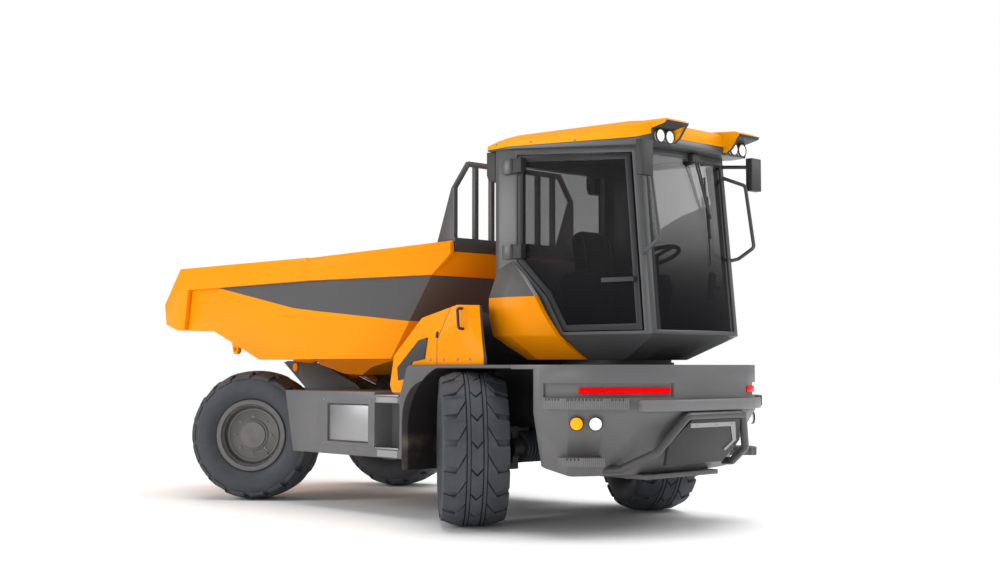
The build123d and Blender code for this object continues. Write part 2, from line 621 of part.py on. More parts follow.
for side in (-1, 1):
    y = sorted((side * (GUARD_HALF - 38), side * GUARD_HALF))
    end = [
        (GUARD_X[1], GUARD_BASE_Z), (GUARD_X[1] - 210, GUARD_BASE_Z), (GUARD_X[0], GUARD_KNEE_Z),
        (GUARD_X[1], GUARD_KNEE_Z),
    ]
    guard += side_prism(end, y[0], y[1])
    lean = [
        (side * GUARD_HALF, GUARD_KNEE_Z), (side * (GUARD_HALF - 38), GUARD_KNEE_Z),
        (side * (GUARD_TOP_HALF - 38), GUARD_TOP_Z), (side * GUARD_TOP_HALF, GUARD_TOP_Z),
    ]
    guard += end_prism(lean, GUARD_X[0], GUARD_X[1])
    for y_bar in GUARD_BAR_Y:
        guard += block(
            GUARD_X[0], GUARD_X[1], side * y_bar - 19, side * y_bar + 19, GUARD_BASE_Z, GUARD_TOP_Z,
        )
keep("skip_guard", guard)

# Skip underframe: a keel below the belly, hinge lugs with their pin, and lugs for the cylinder rods
KEEL_Y = 400
LUG_GAP = 6
LUG_PLATE = 40
keel_outline = [
    (-1380, SKIP_FLOOR_Z), (-1310, 1225), (-925, 1140), (-671, 1132), (-526, 1204),
    (-180, SKIP_FLOOR_Z),
]
underframe = side_prism(keel_outline, -KEEL_Y, KEEL_Y)


def floor_z(x):
    """Height of the skip's sloping front floor, seen from below."""
    slope = (CHUTE_Z - 7 - SKIP_FLOOR_Z) / (BELLY_FRONT_X - CHUTE_REAR_X)
    return SKIP_FLOOR_Z + (BELLY_FRONT_X - x) * slope


lug_outline = [
    (HINGE_X - 70, HINGE_Z - 20), (HINGE_X - 35, HINGE_Z - 70), (HINGE_X + 35, HINGE_Z - 70),
    (HINGE_X + 90, HINGE_Z - 10),
    (BELLY_FRONT_X - 20, floor_z(BELLY_FRONT_X - 20)), (HINGE_X - 230, floor_z(HINGE_X - 230)),
]
lug_out = RAIL_Y - SUPPORT_PLATE - LUG_GAP
for side in (-1, 1):
    y = sorted((side * (lug_out - LUG_PLATE), side * lug_out))
    underframe += side_prism(lug_outline, y[0], y[1])
    pin = sorted((side * (lug_out - LUG_PLATE), side * (RAIL_Y + 8)))
    underframe += bar((HINGE_X, pin[0], HINGE_Z), (HINGE_X, pin[1], HINGE_Z), HINGE_PIN)
EYE_HALF = 30
eye_lug = [
    (RAM_EYE_X - 70, SKIP_FLOOR_Z), (RAM_EYE_X - 55, RAM_EYE_Z - 30), (RAM_EYE_X - 25, RAM_EYE_Z - 55),
    (RAM_EYE_X + 25, RAM_EYE_Z - 55), (RAM_EYE_X + 55, RAM_EYE_Z - 30), (RAM_EYE_X + 70, SKIP_FLOOR_Z),
]
for y in (-RAM_Y, RAM_Y):
    for low in (-EYE_HALF - LUG_GAP - 30, EYE_HALF + LUG_GAP):
        underframe += side_prism(eye_lug, y + low, y + low + 30)
LIFT_X = -2045
LIFT_Y = 860
LIFT_PLATE = 40
LIFT_RADIUS = 48
LIFT_HOLE = 20
LIFT_Z = 1372
lift_top = [(LIFT_X - 75, floor_z(LIFT_X - 75)), (LIFT_X + 75, floor_z(LIFT_X + 75))]
lift = side_prism(
    [*lift_top, (LIFT_X + LIFT_RADIUS, LIFT_Z), (LIFT_X - LIFT_RADIUS, LIFT_Z)], -LIFT_Y,
    -LIFT_Y + LIFT_PLATE,
)
lift += bar((LIFT_X, -LIFT_Y, LIFT_Z), (LIFT_X, -LIFT_Y + LIFT_PLATE, LIFT_Z), LIFT_RADIUS)
lift -= bar((LIFT_X, -LIFT_Y - 1, LIFT_Z), (LIFT_X, -LIFT_Y + LIFT_PLATE + 1, LIFT_Z), LIFT_HOLE)
keep("skip_underframe", *underframe.solids(), lift, far_side(lift))

# Tipping cylinders: a pair of barrels on the frame's pins, and their rods
ram_run = Vector(RAM_EYE_X - RAM_BASE_X, 0, RAM_EYE_Z - RAM_BASE_Z)
ram_dir = ram_run.normalized()
RAM_NECK = 100
ROD_FROM = 300
ROD_BORE_FROM = 280


def along_ram(y, distance):
    point = Vector(RAM_BASE_X, y, RAM_BASE_Z) + ram_dir * distance
    return (point.X, point.Y, point.Z)


barrels = []
rods = []
for y in (-RAM_Y, RAM_Y):
    barrel = bar((RAM_BASE_X, y - 38, RAM_BASE_Z), (RAM_BASE_X, y + 38, RAM_BASE_Z), 50)
    barrel += bar(along_ram(y, 0), along_ram(y, RAM_NECK), 36)
    barrel += bar(along_ram(y, RAM_NECK), along_ram(y, RAM_BARREL_LENGTH), RAM_BARREL)
    barrel -= bar((RAM_BASE_X, y - 60, RAM_BASE_Z), (RAM_BASE_X, y + 60, RAM_BASE_Z), RAM_PIN + FIT)
    barrel -= bar(along_ram(y, ROD_BORE_FROM), along_ram(y, RAM_BARREL_LENGTH + 1), RAM_ROD + FIT)
    barrels.append(barrel)
    rod = bar(along_ram(y, ROD_FROM), along_ram(y, ram_run.length), RAM_ROD)
    rod += bar((RAM_EYE_X, y - EYE_HALF, RAM_EYE_Z), (RAM_EYE_X, y + EYE_HALF, RAM_EYE_Z), 50)
    rods.append(rod)
keep("tip_barrels", *barrels)
keep("tip_rods", *rods)

# Cab body: leaning front with a curved screen, straight sides, round rear corners
CAB_FRONT_X = 2816
CAB_FRONT_HALF = 505
CAB_FRONT_RAKE = 117
CAB_FRONT_TAPER = 14
CAB_BULGE = 45
CAB_HINGE_X = 1621
CAB_SIDE_HALF = 700
CAB_REAR_X = 1340
CAB_CORNER = 110
CAB_HIGH_Z = 2960
ROOF_FRONT = (2740, 2800)
ROOF_REAR = (1230, 2905)
DOOR_KNEE_Z = 2010
DOOR_BEND = (1905, 1735)
DOOR_CUT_X = 2060
DOOR_SILL = 24
DOOR_EAVE = 45
DOOR_POST = 20


def cab_section(z, grow):
    rise = (z - SILL_Z) / (GLASS_TOP_Z - SILL_Z)
    front_x = CAB_FRONT_X - CAB_FRONT_RAKE * rise + grow
    front_y = CAB_FRONT_HALF - CAB_FRONT_TAPER * rise + grow
    side_y = CAB_SIDE_HALF + grow
    rear_x = CAB_REAR_X - grow
    corner_x = CAB_REAR_X + CAB_CORNER
    corner_y = CAB_SIDE_HALF - CAB_CORNER
    mid = (CAB_CORNER + grow) * math.sqrt(0.5)
    lines = [ThreePointArc((front_x, -front_y, z), (front_x + CAB_BULGE, 0, z), (front_x, front_y, z))]
    lines.append(Line((rear_x, corner_y, z), (rear_x, -corner_y, z)))
    for side in (-1, 1):
        front, hinge = (front_x, side * front_y, z), (CAB_HINGE_X, side * side_y, z)
        lines.append(Polyline(front, hinge, (corner_x, side * side_y, z)))
        start, end = (corner_x, side * side_y, z), (rear_x, side * corner_y, z)
        lines.append(ThreePointArc(start, (corner_x - mid, side * (corner_y + mid), z), end))
    return make_face(lines)


def cab_body(grow, low=SILL_Z, high=CAB_HIGH_Z):
    return loft([cab_section(low, grow), cab_section(high, grow)], ruled=True)


def roof_line(x):
    slope = (ROOF_REAR[1] - ROOF_FRONT[1]) / (ROOF_FRONT[0] - ROOF_REAR[0])
    return ROOF_FRONT[1] + (ROOF_FRONT[0] - x) * slope


under_roof = side_prism(
    [(1000, SILL_Z), (3100, SILL_Z), (3100, roof_line(3100)), (1000, roof_line(1000))], -900, 900,
)


def side_window(gap, front_gap):
    """Outline of the side opening, with a gap kept all round."""
    low_front = CAB_FRONT_X - 62 - front_gap + gap
    high_front = low_front - CAB_FRONT_RAKE
    rear_x = CAB_HINGE_X + DOOR_POST
    outline = [
        (DOOR_CUT_X, SILL_Z + DOOR_SILL), (low_front, SILL_Z + DOOR_SILL),
        (high_front, roof_line(high_front) - DOOR_EAVE), (rear_x, roof_line(rear_x) - DOOR_EAVE),
        (rear_x, DOOR_KNEE_Z), DOOR_BEND,
    ]
    return inset(outline, gap)


def screen_window(gap):
    half = CAB_FRONT_HALF - 50 - gap
    return [
        (-half, SILL_Z + 30 + gap), (half, SILL_Z + 30 + gap), (half - 12, GLASS_TOP_Z - 30 - gap),
        (-half + 12, GLASS_TOP_Z - 30 - gap),
    ]


def rear_window(gap):
    half = CAB_SIDE_HALF - CAB_CORNER - 30 - gap
    return [(-half, 2060 + gap), (half, 2060 + gap), (half, 2800 - gap), (-half, 2800 - gap)]


DOOR_GAP = 6
DOOR_FRONT_GAP = 16
near_side = (-900, -300)
openings = side_prism(side_window(0, 0), *near_side)
openings += side_prism(side_window(0, 0), 300, 900)
openings += end_prism(screen_window(0), 2500, 3100)
openings += end_prism(rear_window(0), 1100, 1500)
cab_shell = (cab_body(0) - cab_body(-PILLAR, SILL_Z - 1, CAB_HIGH_Z + 1)) & under_roof
keep("cab_frame", cab_shell - openings)
glass_sheet = cab_body(-8) - cab_body(-8 - GLASS, SILL_Z - 1, CAB_HIGH_Z + 1)
keep("windscreen", glass_sheet & end_prism(screen_window(SEAT_GAP), 2500, 3100))
far_pane = glass_sheet & side_prism(side_window(SEAT_GAP, SEAT_GAP), 300, 900)
rear_pane = glass_sheet & end_prism(rear_window(SEAT_GAP), 1100, 1500)
keep("cab_windows", far_pane, rear_pane)

# Door: a glass pane in a slim frame, hung on the rear post
DOOR_FRAME = 46
DOOR_THICKNESS = 34
door_sheet = cab_body(0) - cab_body(-DOOR_THICKNESS, SILL_Z - 1, CAB_HIGH_Z + 1)
door_edge = side_prism(side_window(DOOR_GAP, DOOR_FRONT_GAP), *near_side)
door_hole = side_prism(side_window(DOOR_GAP + DOOR_FRAME, DOOR_FRONT_GAP + DOOR_FRAME), *near_side)
door_pane = side_prism(
    side_window(DOOR_GAP + DOOR_FRAME + SEAT_GAP, DOOR_FRONT_GAP + DOOR_FRAME + SEAT_GAP), *near_side,
)
keep("door_frame", (door_sheet & door_edge) - door_hole)
keep("door_glass", glass_sheet & door_pane)

# Door hinges and handle
HINGE_AT = (CAB_HINGE_X, -CAB_SIDE_HALF - 27)
HINGE_LEVELS = [2030, 2690]
HINGE_HEIGHT = 110
HINGE_BARREL = 18
hardware = []
fixed_leaves = []
cab_filled = cab_body(0)
for z in HINGE_LEVELS:
    leaf = block(
        HINGE_AT[0], HINGE_AT[0] + 100, HINGE_AT[1] - 8, -CAB_SIDE_HALF + 30, z, z + HINGE_HEIGHT,
    ) - cab_filled
    barrel = bar((*HINGE_AT, z), (*HINGE_AT, z + HINGE_HEIGHT), HINGE_BARREL)
    hardware.append(leaf + barrel)
    leaf_x = HINGE_AT[0] - HINGE_BARREL - 6
    fixed_leaves.append(block(leaf_x - 90, leaf_x, -CAB_SIDE_HALF - 30, -CAB_SIDE_HALF, z, z + HINGE_HEIGHT))
handle = block(2420, 2690, -640, -500, 1818, 1852) & (cab_body(36) - cab_body(0))
hardware.append(handle)
keep("door_hardware", *hardware)

# Cab tub: a hull-shaped tray below the sill
TUB_TUCK = 140
tub_rear = CAB_REAR_X + 12
tub_front = CAB_FRONT_X + 14
tub_high = both_sides([
    (tub_rear, CAB_SIDE_HALF - CAB_CORNER - 30), (tub_rear + 88, CAB_SIDE_HALF - 20),
    (CAB_HINGE_X, CAB_SIDE_HALF),
    (tub_front, CAB_FRONT_HALF - 5), (tub_front + 28, CAB_FRONT_HALF - 255)])
tub_low = both_sides([
    (1520, CAB_SIDE_HALF - TUB_TUCK - 180), (1600, CAB_SIDE_HALF - TUB_TUCK - 60),
    (1760, CAB_SIDE_HALF - TUB_TUCK),
    (2440, CAB_FRONT_HALF - TUB_TUCK - 5), (2500, CAB_FRONT_HALF - TUB_TUCK - 185)])
TUB_WALL = 40
TUB_FLOOR = 33
tub = prism_loft(tub_low, CAB_FLOOR_Z, tub_high, SILL_Z)
tub_room = prism_loft(
    inset(tub_low, TUB_WALL), CAB_FLOOR_Z + TUB_FLOOR, inset(tub_high, TUB_WALL), SILL_Z + 1,
)
keep("cab_tub", tub - tub_room)
ring_low = DECK_Z + RING_HEIGHT + SEAT_GAP
keep("slew_ring_cab", Pos(SWING_X, 0, ring_low) * Cylinder(
    RING_RADIUS - 20, CAB_FLOOR_Z - ring_low, align=(Align.CENTER, Align.CENTER, Align.MIN)))

# Corner panels: bulged covers round both rear corners of the cab, orange below and dark above
PANEL_GROW = 85
PANEL_LOW_GROW = 30
PANEL_SILL_GROW = 55
PANEL_WALL = 45
PANEL_FULL_Z = 1600
PANEL_TOP_Z = DOOR_BEND[1]
CAP_TOP_Z = 2015
PANEL_DOOR_GAP = 30


def corner_bulge(shrink):
    low = inset(tub_low, -PANEL_LOW_GROW + shrink)
    sill = inset(tub_high, -PANEL_SILL_GROW + shrink)
    full = inset(tub_high, -PANEL_GROW + shrink)
    flush = inset(tub_high, -4 + shrink)
    body = prism_loft(low, CAB_FLOOR_Z + 3, sill, SILL_Z) + prism_loft(sill, SILL_Z, full, PANEL_FULL_Z)
    body += plan_prism(full, PANEL_FULL_Z, PANEL_TOP_Z)
    return body, prism_loft(full, PANEL_TOP_Z, flush, CAP_TOP_Z)


def door_cut_x(z):
    """Where the door's slanted lower edge stands at a height, less the gap to the covers."""
    high, low = (CAB_HINGE_X + DOOR_POST, DOOR_KNEE_Z), DOOR_BEND
    if z < DOOR_BEND[1]:
        high, low = DOOR_BEND, (DOOR_CUT_X, SILL_Z + DOOR_SILL)
    return high[0] + (high[1] - z) * (low[0] - high[0]) / (high[1] - low[1]) - PANEL_DOOR_GAP


low_limit = [
    (1100, CAB_FLOOR_Z), (door_cut_x(CAB_FLOOR_Z), CAB_FLOOR_Z), (door_cut_x(PANEL_TOP_Z), PANEL_TOP_Z),
    (1100, PANEL_TOP_Z)]
cap_limit = [
    (1100, PANEL_TOP_Z), (door_cut_x(PANEL_TOP_Z), PANEL_TOP_Z), (door_cut_x(CAP_TOP_Z), CAP_TOP_Z),
    (1100, CAP_TOP_Z)]
body_out, cap_out = corner_bulge(0)
body_in, cap_in = corner_bulge(PANEL_WALL)
near_panel = (body_out - body_in - tub - cab_filled) & side_prism(low_limit, -900, -240)
near_cap = (cap_out - cap_in - cab_filled) & side_prism(cap_limit, -900, -240)
near_panel = near_panel.solids().sort_by(SortBy.VOLUME)[-1]
near_cap = near_cap.solids().sort_by(SortBy.VOLUME)[-1]
keep("cab_corner_panels", near_panel, far_side(near_panel))
keep("cab_corner_caps", near_cap, far_side(near_cap))

# Roof: an orange shell with two lamp brows, over a dark liner
ROOF_OVER = 40
roof_plan = both_sides([
    (CAB_REAR_X - 100, CAB_SIDE_HALF - 230), (CAB_REAR_X - 50, CAB_SIDE_HALF - 20),
    (1600, CAB_SIDE_HALF + ROOF_OVER),
    (2640, CAB_FRONT_HALF + ROOF_OVER + 25), (2862, CAB_FRONT_HALF + ROOF_OVER + 11),
    (2850, CAB_FRONT_HALF - 255)])
ROOF_SHOULDER_Z = 2940
ROOF_TOP_Z = 3000
ROOF_CHAMFER = 105
SHELL_LOW_FRONT = 2855
SHELL_LOW_REAR = 2917
roof_block = plan_prism(roof_plan, 2700, ROOF_SHOULDER_Z)
roof_block += prism_loft(roof_plan, ROOF_SHOULDER_Z, inset(roof_plan, ROOF_CHAMFER), ROOF_TOP_Z)
shell_low = [(1100, SHELL_LOW_REAR), (ROOF_FRONT[0], SHELL_LOW_FRONT), (3100, SHELL_LOW_FRONT + 20)]
shell_side = shell_low + [(3100, 2930), (2600, 2996), (1440, 2996), (1200, 2955), (1100, 2940)]
liner_side = [
    (1100, roof_line(1100)), (ROOF_FRONT[0], ROOF_FRONT[1]), (3100, ROOF_FRONT[1]),
] + shell_low[::-1]
roof_shell = roof_block & side_prism(shell_side, -900, 900)
roof_liner = roof_block & side_prism(liner_side, -900, 900)
BROW_Y = (300, 552)
BROW_TIP = (3004, 2945)
brow_low = [(2700, 2866), (2868, 2902), (BROW_TIP[0] - 14, 2926)]
brow_side = brow_low + [BROW_TIP, (2960, 2968), (2700, 2990)]
BROW_END = [(250, 2800), (250, 2996), (430, 2996), (BROW_Y[1] + 1, 2946), (BROW_Y[1] + 1, 2800)]
BROW_CHEEK = 26
cheek_side = [
    (2760, 2880), (2868, 2903), (BROW_TIP[0] - 14, 2927), (2925, 2842), (2880, 2815), (2760, 2815),
]
housing_side = [(2760, 2800), (2872, 2800), (2872, 2902), (2868, 2902), (2760, 2879)]
LAMP_Y = (380, 484)
LAMP_Z = 2851
LAMP_RADIUS = 44
LAMP_FACE_X = 2872
LAMP_DEPTH = 20
lamps = []
for side in (-1, 1):
    y = sorted((side * BROW_Y[0], side * BROW_Y[1]))
    slope = [(side * across, z) for across, z in BROW_END]
    roof_shell += side_prism(brow_side, y[0], y[1]) & end_prism(slope, 2600, BROW_TIP[0] + 1)
    cheek = sorted((side * BROW_Y[0], side * (BROW_Y[0] + BROW_CHEEK)))
    roof_shell += side_prism(cheek_side, cheek[0], cheek[1])
    roof_liner += side_prism(housing_side, y[0], y[1])
    for lamp_y in LAMP_Y:
        lamp_at = (LAMP_FACE_X, side * lamp_y, LAMP_Z)
        lamps.append(bar(lamp_at, (LAMP_FACE_X + LAMP_DEPTH, side * lamp_y, LAMP_Z), LAMP_RADIUS))
roof_liner -= roof_shell
keep("cab_roof", roof_shell)
BOX_X = (CAB_REAR_X - 104, CAB_REAR_X - 2)
BOX_LAMP_Y = (CAB_SIDE_HALF - 180, CAB_SIDE_HALF - 60)
box_top = [(x, roof_line(x) - SEAT_GAP) for x in BOX_X]
box_side = [*box_top, (BOX_X[1], 2665), (BOX_X[0] + 25, 2665), (BOX_X[0], 2720)]
near_box_lamp = side_prism(box_side, -BOX_LAMP_Y[1], -BOX_LAMP_Y[0])
keep("rear_lamp_boxes", near_box_lamp, far_side(near_box_lamp))
keep("roof_liner", roof_liner)
keep("work_lamps", *lamps)

# Mirrors on arms, and grab rails beside the screen
MIRROR = (2894, 645, 2679)
near_mirror = block(
    MIRROR[0] - 45, MIRROR[0] + 10, -MIRROR[1] - 60, -MIRROR[1] + 60, MIRROR[2] - 125, MIRROR[2] + 125,
)
near_mirror += bar((2680, -440, 2740), (MIRROR[0], -MIRROR[1], MIRROR[2] + 60), 14) - cab_filled
keep("mirrors", near_mirror, far_side(near_mirror))
RAIL_POINTS = [
    (2735, -485, 2010), (2800, -545, 2030), (2935, -559, 2110), (2861, -558, 2589), (2700, -480, 2660),
]
near_rail = tube_run(RAIL_POINTS, 14, 35) - cab_filled
keep("cab_fittings", near_rail, far_side(near_rail), *fixed_leaves)

# Seat and controls inside the cab
SEAT_X = 2040
SEAT_TOP_Z = 1790
FLOOR_TOP_Z = CAB_FLOOR_Z + TUB_FLOOR
keep("seat_base", block(SEAT_X - 190, SEAT_X + 190, -200, 200, FLOOR_TOP_Z, SEAT_TOP_Z - 130))
seat = block(SEAT_X - 250, SEAT_X + 250, -250, 250, SEAT_TOP_Z - 130, SEAT_TOP_Z)
back = [
    (SEAT_X - 250, SEAT_TOP_Z - 60), (SEAT_X - 130, SEAT_TOP_Z - 60), (SEAT_X - 240, 2300),
    (SEAT_X - 340, 2300),
]
seat += side_prism(back, -230, 230)
keep("seat", seat)
WHEEL_AT = (2430, 0, 2040)
column = bar(
    (2405, 0, FLOOR_TOP_Z + SEAT_GAP), (2405, 0, WHEEL_AT[2] - 60), 45,
) + bar((2405, 0, WHEEL_AT[2] - 90), WHEEL_AT, 30)
column_top = Plane(origin=WHEEL_AT, z_dir=(-0.35, 0, 0.94))
steering = column_top * Torus(185, 16) + column_top * Box(370, 40, 14) + column
keep("steering_wheel", steering)
console = [
    (SEAT_X - 250, FLOOR_TOP_Z), (SEAT_X + 150, FLOOR_TOP_Z), (SEAT_X + 250, 1850),
    (SEAT_X + 210, 1930), (SEAT_X - 250, 1870),
]
near_console = side_prism(console, -384, -290)
keep("consoles", near_console, far_side(near_console))

# Bumper beam, steps and lamps on the tail
BEAM_Z = (892, 974)
beam = plan_prism(
    both_sides([(2780, 690), (2892, 690), (3000, 452), (3012, 250)]), BEAM_Z[0], BEAM_Z[1],
) - shell
keep("bumper_beam", beam)
LEDGE_Z = (908, 986)
LOW_STEP_Z = (514, 574)
ledge_outline = [(2290, -1000), (2330, -1118), (2505, -1080), (2750, -895), (2838, -775), (2700, -700)]
low_outline = [(2300, -850), (2400, -1050), (2500, -1085), (2620, -1000), (2700, -880), (2480, -700)]
ledge = plan_prism(ledge_outline, *LEDGE_Z) - shell
low_step = plan_prism(low_outline, *LOW_STEP_Z) - shell
TOOTH_PITCH = 26
TOOTH_CUT = 13
TOOTH_DEPTH = 16
TOOTH_SIDES = [
    # start and end of each serrated edge, the top of its step
    ((2505, -1080), (2750, -895), LEDGE_Z[1]),
    ((2330, -1118), (2505, -1080), LEDGE_Z[1]),
    ((2750, -895), (2838, -775), LEDGE_Z[1]),
    ((2500, -1085), (2620, -1000), LOW_STEP_Z[1]),
]
for start, end, top in TOOTH_SIDES:
    run = Vector(*end) - Vector(*start)
    turn = math.degrees(math.atan2(run.Y, run.X))
    cuts = []
    for index in range(1, int(run.length / TOOTH_PITCH)):
        spot = Vector(*start) + run.normalized() * (index * TOOTH_PITCH)
        notch = Box(TOOTH_CUT, 2 * TOOTH_DEPTH, 2 * TOOTH_DEPTH)
        cuts.append(Pos(spot.X, spot.Y, top) * Rot(0, 0, turn) * notch)
    if top == LEDGE_Z[1]:
        ledge -= cuts
    else:
        low_step -= cuts
keep("bumper_steps", ledge, far_side(ledge), low_step, far_side(low_step))
TAIL_LAMP_Z = (1014, 1060)
LAMP_STAND = 14
lamp_skin = plan_prism(inset(high, LAMP_RECESS - LAMP_STAND), *TAIL_LAMP_Z)
lamp_skin -= plan_prism(inset(high, LAMP_RECESS), *TAIL_LAMP_Z)
near_tail = lamp_skin & block(2300, 3100, -960, -447, *TAIL_LAMP_Z)
keep("tail_lamps", near_tail, far_side(near_tail))
ROUND_LAMPS = [
    # x, y, direction x, direction y
    (2518, -966, 0.6, -0.8),
    (2625, -886, 0.6, -0.8),
]
ROUND_LAMP_Z = 808
ROUND_LAMP = 44
round_lamps = []
for x, y, dx, dy in ROUND_LAMPS:
    lamp = bar(
        (x - 90 * dx, y - 90 * dy, ROUND_LAMP_Z), (x + 40 * dx, y + 40 * dy, ROUND_LAMP_Z), ROUND_LAMP,
    ) - shell
    round_lamps += [lamp, far_side(lamp)]
keep("bumper_lamps", *round_lamps)

# Tubular guard round the towing point, its plate and the tow plate below
LOOP_RADIUS = 30
LOOP_TOP_Z = 858
loop_half = [(2470, -700, 470), (2640, -650, 480), (2860, -520, 600), (2985, -322, LOOP_TOP_Z)]
loop_points = loop_half + [(x, -y, z) for x, y, z in reversed(loop_half)]
keep("guard_loop", tube_run(loop_points, LOOP_RADIUS, 60) - shell)
plate_top = LOOP_TOP_Z - LOOP_RADIUS - SEAT_GAP
plate_half = [(282, plate_top), (412, 660), (330, 500)]
plate_face = [*plate_half, *[(-y, z) for y, z in reversed(plate_half)]]
guard_plate = side_prism([(2966, plate_top), (2996, plate_top), (2790, 500), (2760, 500)], -430, 430)
keep("guard_plate", guard_plate & end_prism(plate_face, 2700, 3050))
TOW_PLATE = 34
TOW_PIN = 20
tow = block(2230, 2680, -420, 420, BUMPER_LOW - TOW_PLATE, BUMPER_LOW)
tow -= bar((2640, 0, BUMPER_LOW - TOW_PLATE - 1), (2640, 0, BUMPER_LOW + 1), TOW_PIN)
keep("tow_plate", tow)

os.makedirs("parts", exist_ok=True)
for node, solids in PARTS.items():
    export_step(Compound(solids) if len(solids) > 1 else solids[0], f"parts/{node}.step")
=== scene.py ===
import math

import bpy
from mathutils import Matrix, Vector
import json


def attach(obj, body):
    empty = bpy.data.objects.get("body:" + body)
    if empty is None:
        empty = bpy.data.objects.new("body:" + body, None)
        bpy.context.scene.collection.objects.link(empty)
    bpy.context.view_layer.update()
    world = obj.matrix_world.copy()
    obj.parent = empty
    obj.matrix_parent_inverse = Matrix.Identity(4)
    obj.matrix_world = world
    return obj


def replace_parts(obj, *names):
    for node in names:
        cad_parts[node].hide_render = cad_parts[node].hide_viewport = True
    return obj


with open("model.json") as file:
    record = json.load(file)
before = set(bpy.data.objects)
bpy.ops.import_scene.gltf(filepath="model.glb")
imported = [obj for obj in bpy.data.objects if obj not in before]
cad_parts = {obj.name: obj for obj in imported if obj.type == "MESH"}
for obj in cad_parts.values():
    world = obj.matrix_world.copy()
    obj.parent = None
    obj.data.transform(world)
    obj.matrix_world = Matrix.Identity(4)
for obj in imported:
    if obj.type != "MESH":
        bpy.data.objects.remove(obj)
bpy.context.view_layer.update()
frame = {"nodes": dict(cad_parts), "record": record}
nodes = frame["nodes"]

# The stage: a plain pale floor, a white surround and soft studio lamps.
# The camera stands off the cab's corner at about the height of the wheels' tops,
# as the photograph was taken.
scene = bpy.context.scene
scene.view_settings.view_transform = "Standard"
CAMERA_AT = (8.966, -7.823, 1.208)
CAMERA_TURN = (math.radians(93.63), 0, math.radians(46.52))
CAMERA_LENS = 48.18
SENSOR_WIDTH = 36
FAR_LIMIT = 200
bpy.ops.object.camera_add(location=CAMERA_AT, rotation=CAMERA_TURN)
camera = bpy.context.object
camera.data.sensor_width = SENSOR_WIDTH
camera.data.lens = CAMERA_LENS
camera.data.clip_end = FAR_LIMIT
scene.camera = camera

FLOOR_SIZE = 120
FLOOR_Z = -0.001
bpy.ops.mesh.primitive_plane_add(size=FLOOR_SIZE, location=(0, 0, FLOOR_Z))
floor = bpy.context.object
floor.name = "studio_floor"
SURROUND = (1.0, 1.0, 1.0, 1)
FILL = 0.42
world = bpy.data.worlds.new("studio")
world.use_nodes = True
sky = world.node_tree.nodes["Background"]
sky.inputs["Color"].default_value = SURROUND
seen = world.node_tree.nodes.new("ShaderNodeLightPath")
level = world.node_tree.nodes.new("ShaderNodeMapRange")
level.inputs["To Min"].default_value = FILL
level.inputs["To Max"].default_value = 1.0
world.node_tree.links.new(seen.outputs["Is Camera Ray"], level.inputs["Value"])
world.node_tree.links.new(level.outputs["Result"], sky.inputs["Strength"])
scene.world = world

SUN_AT = (0, 0, 12)
SUN_TURN = (math.radians(-10), math.radians(6), 0)
SUN_SPREAD = math.radians(55)
SUN_POWER = 2.25
bpy.ops.object.light_add(type="SUN", location=SUN_AT)
overhead = bpy.context.object
overhead.data.energy = SUN_POWER
overhead.data.angle = SUN_SPREAD
overhead.rotation_euler = SUN_TURN
LAMPS = [
    # place, aimed at, width, height, power
    ((-5.0, -9.0, 4.5), (-0.5, 0.0, 1.2), 5.0, 4.0, 270),
    ((6.6, 4.6, 4.9), (2.7, 0.0, 2.3), 4.2, 2.4, 150),
    ((-3.6, -5.7, 3.5), (1.5, -0.7, 2.4), 0.35, 3.2, 40),
    ((3.2, -7.5, 1.3), (1.5, -0.9, 1.3), 3.0, 1.6, 85),
]
for place, aim, width, height, power in LAMPS:
    bpy.ops.object.light_add(type="AREA", location=place)
    lamp = bpy.context.object
    lamp.data.shape = "RECTANGLE"
    lamp.data.size = width
    lamp.data.size_y = height
    lamp.data.energy = power
    lamp.rotation_euler = (Vector(aim) - Vector(place)).to_track_quat("-Z", "Y").to_euler()


